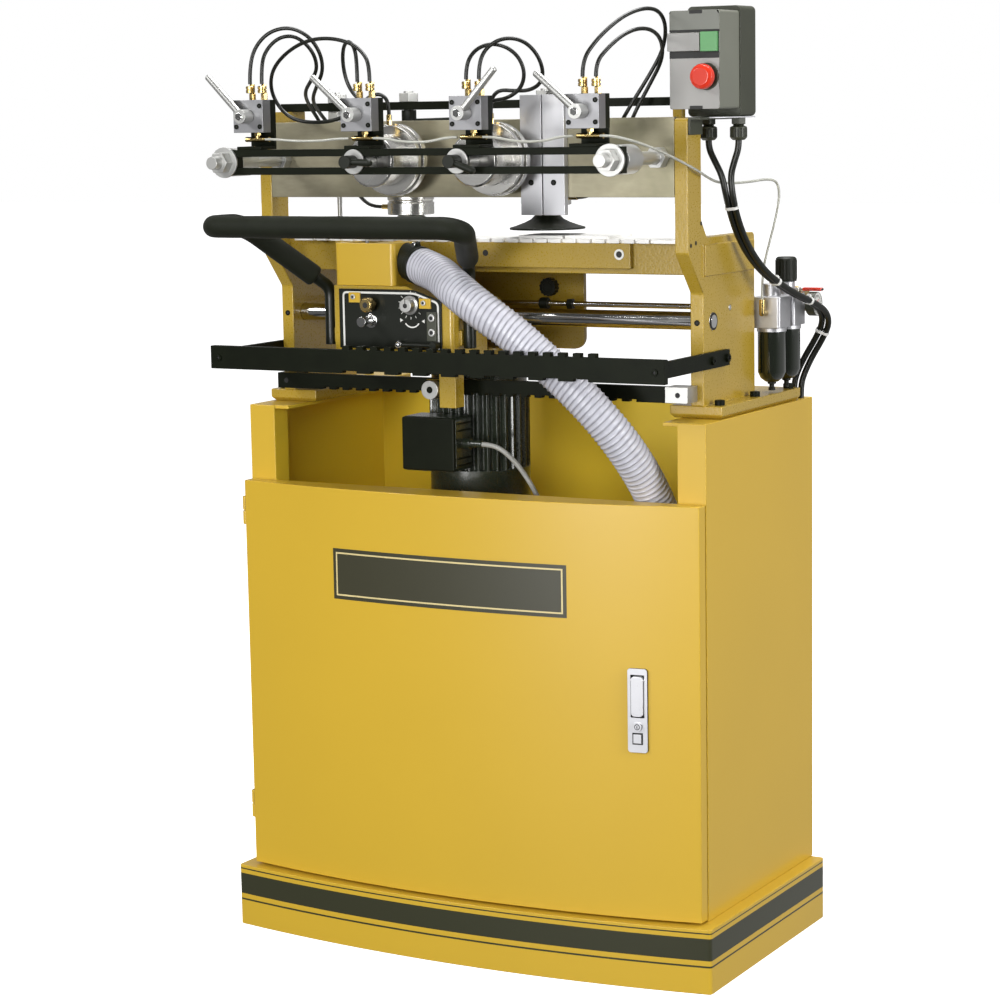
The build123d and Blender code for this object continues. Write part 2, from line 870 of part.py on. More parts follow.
# Slotted rail over the fence, on an angle bracket and on a shoe on the left column
rail_front = down_clamp_y - rail_depth / 2
rail_back = down_clamp_y + rail_depth / 2
rail = block(-web_outer, switch_left, rail_front, rail_back, rail_bottom, rail_top)
rail -= block(
    -rail_slot_half, rail_slot_half, down_clamp_y - rail_slot / 2, down_clamp_y + rail_slot / 2,
    rail_bottom, rail_top
)
angle_left = rail_bracket_x - rail_bracket_width / 2
angle_right = rail_bracket_x + rail_bracket_width / 2
angle_foot = fence_top - rail_bracket_drop
angle = block(
    angle_left, angle_right, rail_front, rail_front + rail_bracket_wall, angle_foot, rail_bottom
)
angle += block(
    angle_left, angle_right, fence_back, rail_front, angle_foot, angle_foot + rail_bracket_wall
)
shoe = block(-web_outer, -span, column_front + rail_shoe_inset, rail_back, column_z, rail_bottom)
save("top_rail", rail, angle, shoe)

# Side fence: two bars on the fence plate
fence_bars = []
for i in range(2):
    x0 = side_fence_left + i * (side_fence_bar + side_fence_gap)
    fence_bars.append(block(
        x0, x0 + side_fence_bar, column_front - side_fence_thickness, column_front,
        fence_bottom - side_fence_drop,
        fence_top + side_fence_rise
    ))
save("side_fence", *fence_bars)

# Valve bodies with their front plates
valves = []
for x in valve_x:
    half = valve_width / 2
    plate = block(x - half, x + half, clamp_bar_front, valve_body_front, valve_bottom, valve_top)
    plate -= bar_y(x, clamp_bar_front, valve_body_front, valve_mid, valve_shaft_radius + running_fit)
    body = block(x - half + 2, x + half - 2, valve_body_front, valve_body_back, valve_bottom, valve_top)
    valves += [plate, body]
save("valve_bodies", *valves)

# Valve levers: a hub on a short shaft, and a tapered handle that leans from upright
for i, x in enumerate(valve_x):
    hub_back = clamp_bar_front - pad_clear
    hub_front = hub_back - lever_hub_length
    lever = bar_y(x, hub_front, hub_back, valve_mid, lever_hub_radius)
    lever += bar_y(x, hub_back, valve_body_front - 1, valve_mid, valve_shaft_radius)
    grip_profile = [
        (0, 0),
        (lever_root_radius, 0),
        (lever_root_radius, lever_length * 0.45),
        (lever_tip_radius, lever_length - 2),
        (lever_tip_radius - 2, lever_length),
        (0, lever_length),
    ]
    middle = (hub_front * 2 + hub_back) / 3
    lever += Pos(x, middle, valve_mid) * Rot(0, lever_lean[i], 0) * turned(grip_profile)
    save(f"valve_lever_{i + 1}", lever)

# Ratchet levers that lock the front cylinders to the bar
ratchet_back = clamp_bar_front - stud_washer - pad_clear
for i, x in enumerate(front_clamp_x):
    hub = bar_y(x, ratchet_back - ratchet_hub_length, ratchet_back, clamp_z, ratchet_hub_radius)
    arm_profile = [
        (0, 0),
        (ratchet_arm_radius, 0),
        (ratchet_arm_radius + 1.5, ratchet_reach - 4),
        (ratchet_arm_radius - 1, ratchet_reach),
        (0, ratchet_reach),
    ]
    droop = (92, 110)[i]
    hub += Pos(x, ratchet_back - ratchet_hub_length * 0.7, clamp_z) * Rot(0, droop, 0) * turned(arm_profile)
    hub -= bar_y(x, stud_front - 1, ratchet_back, clamp_z, stud_radius + running_fit)
    save(("ratchet_lever_left", "ratchet_lever_right")[i], hub)

# A longer ratchet lever under the rail
rail_lever = bar_z(down_clamp_x[0], down_clamp_y, rail_lever_low, rail_lever_high, spacer_radius)
rail_arm = [
    (0, 0),
    (ratchet_arm_radius, 0),
    (ratchet_arm_radius + 1.5, rail_lever_reach - 4),
    (ratchet_arm_radius - 1, rail_lever_reach),
    (0, rail_lever_reach),
]
rail_arm_z = rail_lever_low + ratchet_arm_radius + 3
rail_lever += Pos(down_clamp_x[0], down_clamp_y, rail_arm_z) * Rot(0, 90, rail_lever_turn) * turned(rail_arm)
rail_lever -= bar_z(down_clamp_x[0], down_clamp_y, rail_lever_low, rail_lever_high, stud_radius + running_fit)
save("rail_lever", rail_lever)

# Brass fittings: hose stems on the valves, tees under them, elbows on cylinders and air unit
stem_flat = 10.0
stem_neck = 8.0
hose_radius = 3.0
line_radius = 2.0
valve_fitting_y = (valve_body_front + valve_body_back) / 2
tee_y = valve_body_front + 4


def stem(x, y, z0, z1):
    piece = hexagon_z(x, y, z0, z0 + (z1 - z0) * 0.4, stem_flat)
    return piece + hexagon_z(x, y, z0, z1, stem_neck)


fittings = []
stem_top = valve_top + fitting_height
for x in valve_x:
    for side in (-1, 1):
        fittings.append(stem(x + side * fitting_pitch / 2, valve_fitting_y, valve_top, stem_top))
    tee = bar_x(x - tee_half, x + tee_half, tee_y, tee_z, tee_radius)
    tee += bar_z(x, tee_y, tee_z, valve_bottom, tee_radius)
    tee += hexagon_z(x, tee_y, valve_bottom - 5, valve_bottom, stem_flat)
    fittings.append(tee)
port_stem = 16.0
front_port_y = front_cap + 30
front_port_top = clamp_z + cylinder_radius - 2 + port_stem
rear_port_y = front_rear - 26.5
rear_port_top = clamp_z + flange_radius - 2.5 + port_stem
for x in front_clamp_x:
    for y, high in ((front_port_y, front_port_top), (rear_port_y, rear_port_top)):
        port = bar_z(x, y, high - port_stem - 4, high, stem_flat * 0.42)
        port += hexagon_z(x, y, high - port_stem - 4, high - port_stem / 2, stem_flat * 0.85)
        fittings.append(port - along_y(x, clamp_z, turned(front_profile)))
down_ports = (down_top - 18, down_bottom + 12)
down_port_end = down_clamp_radius + port_stem
for x, drop in zip(down_clamp_x, down_drop):
    side = math.copysign(1, x)
    for z in down_ports:
        near = x + side * (down_clamp_radius - 3)
        far = x + side * down_port_end
        port = bar_x(min(near, far), max(near, far), down_clamp_y, z - drop, stem_flat * 0.42)
        fittings.append(port - Pos(x, down_clamp_y, -drop) * turned(down_profile))
air_low = base + air_body_bottom
air_high = air_low + air_body_height
air_mid = (air_low + air_high) / 2
air_front = air_y[0] - air_body / 2
elbow_y = air_front - 14
elbow_top = air_mid + 22
elbow = bar_y(air_x, elbow_y, air_front, air_mid, stem_flat / 2)
elbow += bar_z(air_x, elbow_y, air_mid, elbow_top, stem_flat / 2)
elbow += Pos(air_x, elbow_y, air_mid) * Sphere(stem_flat / 2)
fittings.append(elbow)
save("brass_fittings", *fittings)

# Switch box: a base on a shelf bracket, with a cover and two buttons
switch_right = switch_left + switch_width
switch_base = block(
    switch_left, switch_right, switch_base_front, switch_base_back, switch_bottom,
    switch_bottom + switch_base_height
)
switch_base = fillet(switch_base.edges().filter_by(Axis.Y), switch_corner)
shelf_right = web_outer + bracket_shelf
shelf_back = switch_base_back - 5
column_inset = 2.0
shelf = block(
    web_outer, shelf_right, column_front + column_inset, shelf_back, switch_bottom - sheet - 1, switch_bottom
)
shelf += block(
    web_outer, web_outer + sheet + 1, column_front + column_inset, column_front + column_depth - column_inset,
    switch_bottom - shelf_flange, switch_bottom
)
gland_nut = gland_length / 3
gland_profile = [
    (0, 0),
    (gland_nut_flat / 2 - 2, 0),
    (gland_nut_flat / 2 - 2, -gland_nut - 2),
    (gland_radius, -gland_nut - 4),
    (gland_radius, 4 - gland_length),
    (gland_radius - 4, -gland_length),
    (0, -gland_length),
]
glands = []
for x in gland_x:
    gland = Pos(x, gland_y, switch_bottom) * turned(gland_profile)
    gland += hexagon_z(x, gland_y, switch_bottom - gland_nut, switch_bottom, gland_nut_flat)
    glands.append(gland)
save("switch_base", switch_base, shelf, *glands)
cover_front = switch_base_front - switch_cover_depth
cover_left = switch_left + switch_cover_inset
cover_right = switch_right - switch_cover_inset / 2
cover_low = switch_bottom + switch_cover_lift
cover = block(
    cover_left, cover_right, cover_front, switch_base_front, cover_low, cover_low + switch_cover_height
)
cover = fillet(cover.edges().filter_by(Axis.Y), switch_corner / 2)
start_w, start_h = start_size
start_low = switch_bottom + start_rise
start_right = start_left + start_w
flap_half_gap = 3.0
groove_low = start_low - flap_half_gap
groove_high = start_low + start_h + flap_half_gap
cover -= block(cover_left, cover_right, cover_front, cover_front + 2, groove_low, start_low)
cover -= block(cover_left, cover_right, cover_front, cover_front + 2, start_low + start_h, groove_high)
cover += block(
    cover_left - 2, start_left - 2, cover_front - start_proud + 2, cover_front + 2, start_low + 1,
    start_low + start_h - 1
)
cover -= block(
    start_left - button_gap, start_right + button_gap, cover_front - 1, cover_front + start_pocket,
    start_low - button_gap,
    start_low + start_h + button_gap
)
stop_z = switch_bottom + stop_rise
stop_pocket = 26.0
cover += bar_y(stop_x, cover_front - 3, cover_front, stop_z, stop_cap_radius + 1)
cover -= bar_y(stop_x, cover_front - 4, cover_front + stop_pocket, stop_z, stop_stem_radius + running_fit)
save("switch_cover", cover)
start_travel_gap = 5.0
save("start_button", block(
    start_left, start_right, cover_front - start_proud, cover_front + start_pocket - start_travel_gap,
    start_low,
    start_low + start_h
))
stop_back = cover_front - stop_travel_gap
stop_profile = [
    (0, stop_back - 14),
    (stop_cap_radius - 6, stop_back - 14),
    (stop_cap_radius - 1.5, stop_back - 11),
    (stop_cap_radius, stop_back - 7),
    (stop_cap_radius, stop_back - 2),
    (stop_cap_radius - 2, stop_back),
    (stop_stem_radius, stop_back),
    (stop_stem_radius, cover_front + stop_pocket - 8),
    (0, cover_front + stop_pocket - 8),
]
save("stop_button", along_y(stop_x, stop_z, turned(stop_profile)))

# Air preparation unit: two bodies on a bracket, bowls, regulator knob, gauge and shut-off valve
air_half = air_body / 2
bodies = []
for y in air_y:
    body = block(air_x - air_half, air_x + air_half, y - air_half, y + air_half, air_low, air_high)
    body = fillet(body.edges().filter_by(Axis.Z), 5)
    body += bar_z(air_x, y, air_high, air_high + bonnet_height, bonnet_radius)
    bodies.append(body)
knob_post = 6.0
regulator_y = air_y[1]
knob_low = air_high + bonnet_height + pad_clear
knob_high = knob_low + knob_height
bodies[1] += bar_z(air_x, regulator_y, air_high + bonnet_height, knob_high - 8, knob_post)
unit_join = block(
    air_x - air_half * 0.6, air_x + air_half * 0.6, air_y[0] + air_half, air_y[1] - air_half, air_low + 10,
    air_high - 10
)
air_bracket = block(
    air_x - air_half - air_bracket_wall, air_x - air_half, web_back, air_y[1] + air_half, air_low + 8,
    air_high - 8
)
save("air_unit", *bodies, unit_join, air_bracket)
bowl_low = air_low - bowl_length
bowl_profile = [
    (0, bowl_low),
    (bowl_radius * 0.45, bowl_low),
    (bowl_radius * 0.8, bowl_low + 6),
    (bowl_radius, bowl_low + 16),
    (bowl_radius, air_low),
    (0, air_low),
]
save("air_bowls", *[Pos(air_x, y, 0) * turned(bowl_profile) for y in air_y])
regulator = bar_z(air_x, regulator_y, knob_low, knob_high, knob_radius)
regulator = chamfer(regulator.faces().sort_by(Axis.Z)[-1].edges(), 3)
regulator -= bar_z(air_x, regulator_y, knob_low, knob_high - 6, knob_post + running_fit)
save("regulator_knob", regulator)
valve_y0 = air_y[1] + air_half
valve_y1 = valve_y0 + valve_block
shutoff_z = air_mid + shutoff_rise
shutoff_top = shutoff_z + 16
shutoff = block(air_x - 16, air_x + 16, valve_y0, valve_y1, shutoff_z - 16, shutoff_top)
shutoff_y = (valve_y0 + valve_y1) / 2
shutoff += bar_z(air_x, shutoff_y, shutoff_top, shutoff_top + shutoff_stem, shutoff_stem_radius)
shutoff -= bar_y(air_x, valve_y1 - inlet_depth, valve_y1 + 1, shutoff_z, inlet_radius)
save("shutoff_valve", shutoff)
lever_low = shutoff_top + pad_clear
red_lever = bar_z(air_x, shutoff_y, lever_low, lever_low + 6, 8)
red_lever += block(
    air_x, air_x + shutoff_lever_length, shutoff_y - 5, shutoff_y + 5, lever_low + 1.5, lever_low + 5
)
red_lever -= bar_z(air_x, shutoff_y, lever_low - 1, lever_low + 7, shutoff_stem_radius + running_fit)
save("shutoff_lever", red_lever)
gauge_low = air_x + 16
gauge_profile = [
    (0, gauge_low),
    (4, gauge_low),
    (4, gauge_low + 6),
    (gauge_radius - 2, gauge_low + 6),
    (gauge_radius, gauge_low + 8),
    (gauge_radius, gauge_low + gauge_depth + 4),
    (gauge_radius - 1.5, gauge_low + gauge_depth + 4),
    (gauge_radius - 1.5, gauge_low + gauge_depth + 2.5),
    (0, gauge_low + gauge_depth + 2.5),
]
gauge_z = shutoff_z - gauge_drop
save("pressure_gauge", Pos(0, shutoff_y, gauge_z) * Rot(0, 90, 0) * turned(gauge_profile))

# Carriage casting: front chamber, rod housing, belt box, spindle boss and follower arm
casting_low_z = base + casting_bottom
casting_high_z = casting_low_z + casting_height
chamber_low = base + chamber_bottom
chamber_high = chamber_low + chamber_height
box_low = base + belt_box_bottom
cavity_low = box_low + belt_box_floor
cavity_high = cavity_low + belt_box_cavity
box_high = cavity_high + belt_box_lid
casting = block(casting_left, casting_right, casting_front, casting_back, casting_low_z, casting_high_z)
casting = fillet(casting.edges().filter_by(Axis.Z).group_by(Axis.Y)[0], 6)
cut_points = [
    (casting_right - corner_cut_x, casting_high_z),
    (casting_right + 1, casting_high_z),
    (casting_right + 1, casting_high_z - corner_cut_z),
]
corner_cut = Plane.XZ * extrude(
    make_face(Polyline(*cut_points, close=True)), casting_back - casting_front + 10
)
corner_cut = Pos(0, casting_back + 1, 0) * corner_cut
casting -= corner_cut
casting += bar_x(casting_left, casting_right, rod_y, rod_z, housing_radius)
casting -= block(chamber_left, chamber_right, casting_front - 1, chamber_back, chamber_low, chamber_high)
casting += bar_z(spindle_x, spindle_y, casting_low_z, casting_high_z, spindle_boss_radius)
box_wall = belt_box_wall + belt_thickness
belt_box = hull_of([
    (motor_x, motor_y, motor_pulley_radius + box_wall + 4),
    (spindle_x, spindle_y, spindle_pulley_radius + box_wall + 4),
])
belt_cavity = hull_of([
    (motor_x, motor_y, motor_pulley_radius + belt_thickness + 4),
    (spindle_x, spindle_y, spindle_pulley_radius + belt_thickness + 4),
])
casting += Pos(0, 0, box_low) * extrude(belt_box, box_high - box_low)
casting -= Pos(0, 0, cavity_low) * extrude(belt_cavity, cavity_high - cavity_low)
follower_low = casting_low_z - follower_drop
roller_z = base + roller_rise
casting += block(follower_left, follower_right, casting_front, follower_back, follower_low, casting_low_z)
casting += block(
    roller_x - roller_radius, follower_left, follower_plate_front, follower_plate_back,
    roller_z - roller_radius,
    roller_z + roller_radius
)
pin_front = follower_plate_front - roller_width - 2
casting += bar_y(roller_x, pin_front, follower_plate_front, roller_z, roller_pin_radius)
casting -= bar_x(casting_left - 1, casting_right + 1, rod_y, rod_z, bush_radius + running_fit)
casting -= bar_z(spindle_x, spindle_y, box_low, casting_high_z + 1, spindle_radius + running_fit)
casting -= bar_z(motor_x, motor_y, box_low - 1, cavity_low + 1, motor_shaft_radius + 2)
pad_low = base + handle_foot + 4
pad_high = pad_low + 24
left_pad = block(
    handle_left_x + handle_radius, casting_left, handle_y - handle_pad, handle_y + handle_pad, pad_low,
    pad_high
)
right_pad = block(
    casting_right, handle_right_x - handle_radius, handle_y - handle_pad, handle_y + handle_pad, pad_low,
    pad_high
)
casting += [left_pad, right_pad]
save("carriage", casting)

# Two bushings that slide along the main rod
bush = bar_x(casting_left + bush_inset, casting_left + bush_inset + bush_length, rod_y, rod_z, bush_radius)
bush += bar_x(casting_right - bush_inset - bush_length, casting_right - bush_inset, rod_y, rod_z, bush_radius)
bush -= bar_x(casting_left, casting_right, rod_y, rod_z, rod_radius + running_fit)
save("bushings", bush)

# Black front panel over the chamber
panel_back = casting_front
panel_front = panel_back - panel_thickness
panel = block(
    chamber_left - panel_margin, panel_right, panel_front, panel_back, chamber_low - panel_margin,
    chamber_high + panel_margin
)
panel -= corner_cut
index_z = base + index_rise
plunger_z = base + plunger_rise
lock_z = base + lock_rise
for x, z in ((index_x, index_z), (lock_x, lock_z)):
    panel -= bar_y(x, panel_front, panel_back, z, fitting_shaft + running_fit)
panel_rear = panel_front - pad_clear

# Fixed fittings on the panel: brass knob and hex plunger
brass_profile = [
    (0, panel_front - 22),
    (brass_radius - 2, panel_front - 22),
    (brass_radius, panel_front - 20),
    (brass_radius, panel_front - 9),
    (brass_radius - 4, panel_front - 7),
    (brass_radius - 4, panel_front),
    (0, panel_front),
]
plunger_tip = panel_front - plunger_length
plunger = bar_y(plunger_x, panel_front - 2, panel_front, plunger_z, plunger_radius * 1.4)
plunger += hexagon_y(plunger_x, panel_front - 10, panel_front - 2, plunger_z, 2 * plunger_radius)
plunger += bar_y(plunger_x, plunger_tip, panel_front, plunger_z, plunger_radius * 0.6)
plunger += bar_y(plunger_x, plunger_tip, plunger_tip + 8, plunger_z, plunger_radius)
save("belt_panel", panel, along_y(brass_x, index_z, turned(brass_profile)), plunger)

# Index knob and lock lever, each on a short shaft in the panel
index_profile = [
    (0, panel_front - index_length),
    (index_radius - 1, panel_front - index_length),
    (index_radius, panel_front - index_length + 1),
    (index_radius, panel_front - 6),
    (index_radius + 4, panel_front - 4),
    (index_radius + 4, panel_rear),
    (fitting_shaft, panel_rear),
    (fitting_shaft, panel_back),
    (0, panel_back),
]
save("index_knob", along_y(index_x, index_z, turned(index_profile)))
lock = bar_y(lock_x, panel_front - 16, panel_rear, lock_z, lock_radius)
lock += bar_y(lock_x, panel_rear, panel_back, lock_z, fitting_shaft)
lock += bar_x(lock_x - lock_reach, lock_x, panel_front - 11, lock_z, 3.5)
save("lock_lever", lock)

# Dust hood round the cutter, with a round port for the hose
hood_low = casting_high_z
hood_high = hood_low + hood_height
hood = block(hood_left, hood_right, hood_front, hood_back, hood_low, hood_high)
hood = fillet(hood.edges().filter_by(Axis.Z), 8)
port_tip = (port_end[0], port_end[1], base + port_end[2])
port_place = Pos(*port_tip) * Rot(0, 0, port_turn) * Rot(0, 90 + port_dip, 0)
behind = block(
    hood_left, port_tip[0], hood_back, hood_back + port_length, hood_low - port_length,
    hood_high + port_length
)
port_tube = port_place * Pos(0, 0, -port_length / 2) * Cylinder(port_radius, port_length)
hood += port_tube - behind
hood -= block(
    hood_left + sheet, hood_right - sheet, hood_front + sheet, hood_back - sheet, hood_low, hood_high - sheet
)
hood -= block(hood_slot[0], hood_slot[1], hood_front + 10, hood_back + 1, hood_high - 30, hood_high + 1)
port_bore = port_place * Pos(0, 0, -port_length / 2) * Cylinder(port_radius - port_wall, port_length + 2)
hood -= port_bore - Pos(0, -sheet, 0) * behind
save("hood", hood)

# Spindle with its pulley and collet, and the dovetail cutter in it
pulley_gap = 1.5
pulley_low = cavity_low + pulley_gap
pulley_high = cavity_high - pulley_gap - 2
collet_low = hood_low + collet_rise
collet_high = collet_low + 22
tip = base + cutter_tip
spindle_profile = [
    (0, pulley_low),
    (spindle_pulley_radius, pulley_low),
    (spindle_pulley_radius, pulley_high),
    (spindle_radius, pulley_high),
    (spindle_radius, collet_low),
    (collet_radius, collet_low),
    (collet_radius, collet_high - 8),
    (collet_radius - 4, collet_high),
    (0, collet_high),
]
cutter_profile = [
    (0, collet_high),
    (cutter_radius / 2, collet_high),
    (cutter_radius / 2, tip - 20),
    (cutter_radius - 3, tip - 13),
    (cutter_radius, tip),
    (0, tip),
]
at_spindle = Pos(spindle_x, spindle_y, 0)
save("spindle", at_spindle * turned(spindle_profile), at_spindle * turned(cutter_profile))

# Motor pulley with its shaft, and the belt round both pulleys
shaft_low = box_low - motor_shaft_depth
motor_pulley = bar_z(motor_x, motor_y, pulley_low, pulley_high, motor_pulley_radius)
motor_pulley += bar_z(motor_x, motor_y, shaft_low, pulley_high, motor_shaft_radius)
save("motor_pulley", motor_pulley)
belt_gap = 0.3
belt_inner = hull_of([
    (motor_x, motor_y, motor_pulley_radius + belt_gap),
    (spindle_x, spindle_y, spindle_pulley_radius + belt_gap),
])
belt_outer = hull_of([
    (motor_x, motor_y, motor_pulley_radius + belt_gap + belt_thickness),
    (spindle_x, spindle_y, spindle_pulley_radius + belt_gap + belt_thickness),
])
belt_low = (pulley_low + pulley_high - belt_width) / 2
save("belt", Pos(0, 0, belt_low) * extrude(belt_outer - belt_inner, belt_width))

# Motor: flange, bells, finned shell, fan cowl and terminal box
fin_high = box_low - motor_flange - motor_bell
fin_low = fin_high - motor_fin_length
cowl_low = fin_low - motor_cowl
fin_step = 2 * math.pi / motor_fins
fin_points = []
for i in range(motor_fins):
    for share, radius in (
        (0.0, motor_core_radius), (0.3, motor_radius), (0.5, motor_radius), (0.8, motor_core_radius)
    ):
        angle = (i + share) * fin_step
        fin_points.append((radius * math.cos(angle), radius * math.sin(angle)))
fins = Pos(motor_x, motor_y, fin_low) * extrude(
    make_face(Polyline(*fin_points, close=True)), motor_fin_length
)
bell_wall = motor_core_radius + 4
shell_profile = [
    (0, cowl_low),
    (motor_radius - 22, cowl_low),
    (motor_radius - 4, cowl_low + 14),
    (motor_radius, cowl_low + 24),
    (motor_radius, fin_low),
    (bell_wall, fin_low),
    (bell_wall - 8, fin_low + 1),
    (bell_wall - 8, fin_high - 1),
    (bell_wall, fin_high),
    (bell_wall, box_low - motor_flange),
    (motor_flange_radius, box_low - motor_flange),
    (motor_flange_radius, box_low),
    (0, box_low),
]
motor = Pos(motor_x, motor_y, 0) * turned(shell_profile) + fins
motor -= bar_z(motor_x, motor_y, shaft_low - 1, box_low + 1, motor_shaft_radius + running_fit)
terminal_low = base + terminal_bottom
terminal_back = terminal_front + terminal_depth
terminal = block(
    terminal_left, terminal_left + terminal_width, terminal_front, terminal_back, terminal_low,
    terminal_low + terminal_height
)
terminal = fillet(terminal.edges().filter_by(Axis.Y), terminal_corner)
terminal_neck = block(
    terminal_left + 20, terminal_left + terminal_width - 20, terminal_back, motor_y, terminal_low + 15,
    terminal_low + terminal_height - 15
)
motor += terminal_neck - bar_z(
    motor_x, motor_y, terminal_low, terminal_low + terminal_height, motor_core_radius - 5
)
terminal_gland_z = terminal_low + terminal_height / 2
terminal_gland_y = terminal_front + terminal_depth / 2
terminal_right = terminal_left + terminal_width
gland_tip = terminal_right + terminal_gland
terminal += bar_x(terminal_right, gland_tip, terminal_gland_y, terminal_gland_z, terminal_gland_radius)
collar_tip = terminal_right + terminal_gland * 0.4
terminal += bar_x(terminal_right, collar_tip, terminal_gland_y, terminal_gland_z, terminal_gland_radius + 2.5)
save("motor", motor, terminal)

# Follower roller on its pin
roller = bar_y(
    roller_x, follower_plate_front - pad_clear - roller_width, follower_plate_front - pad_clear, roller_z,
    roller_radius
)
roller -= bar_y(roller_x, pin_front - 1, follower_plate_front, roller_z, roller_pin_radius + running_fit)
save("follower_roller", roller)

# Handle: one bent tube, with a foam grip over its front
foot_z = base + handle_foot
bar_z_top = base + handle_bar_rise
left_foot = (handle_left_x, handle_y, foot_z)
left_bend = (handle_left_x, handle_y, base + handle_left_bend)
left_back = (handle_bar_left, handle_bar_y + handle_left_run, bar_z_top)
left_bar = (handle_bar_left, handle_bar_y, bar_z_top)
right_bar = (handle_bar_right, handle_bar_y, bar_z_top)
right_bend = (handle_right_x, handle_y, base + handle_right_bend)
right_foot = (handle_right_x, handle_y, foot_z)


def between(a, b, share):
    return tuple(p + (q - p) * share for p, q in zip(a, b))


# A round bar along a path whose corners are rounded with the radii given
def tube(points, radii, radius):
    path = FilletPolyline(*points, radius=radii)
    start = path.edges()[0]
    section = Plane(start @ 0, z_dir=start % 0) * Circle(radius)
    return sweep(section, path)


handle_points = [left_foot, left_bend, left_back, left_bar, right_bar, right_bend, right_foot]
handle_radii = [handle_low_bend, handle_back_bend, handle_bend, handle_bend, handle_low_bend]
save("handle_tube", tube(handle_points, handle_radii, handle_radius))
grip_left = between(left_bend, left_back, grip_start)
grip_right = between(right_bend, right_bar, grip_start)
grip_points = [grip_left, left_back, left_bar, right_bar, grip_right]
grip_radii = [handle_back_bend, handle_bend, handle_bend]
grip = tube(grip_points, grip_radii, grip_radius) - tube(grip_points, grip_radii, handle_radius + grip_fit)
save("handle_grip", grip)


# The largest corner radii that a route's runs leave room for
def corner_radii(points):
    radii = []
    for a, b, c in zip(points, points[1:], points[2:]):
        first = Vector(*b) - Vector(*a)
        second = Vector(*c) - Vector(*b)
        half_turn = math.radians(first.get_angle(second)) / 2
        radii.append(0.45 * min(first.length, second.length) / math.tan(half_turn))
    return radii


# A cord of a few flat sides along a route, with its least radius and volume printed
def cord(name, points, radius):
    radii = corner_radii(points)
    path = FilletPolyline(*points, radius=radii)
    start = path.edges()[0]
    face = RegularPolygon(radius, cord_sides)
    piece = sweep(Plane(start @ 0, z_dir=start % 0) * face, path)
    share = piece.volume / (face.area * path.length)
    print(f"{name}: length {path.length:.0f}, least radius {min(radii):.1f}, volume share {share:.4f}")
    return piece


cord_sides = 4
top_y = valve_fitting_y
left_port = down_clamp_x[0] - down_port_end
right_port = down_clamp_x[1] + down_port_end
high_port, low_port = down_ports
left_high = high_port - down_drop[0]
left_low = low_port - down_drop[0]
stem_x = [x + side * fitting_pitch / 2 for x in valve_x for side in (-1, 1)]

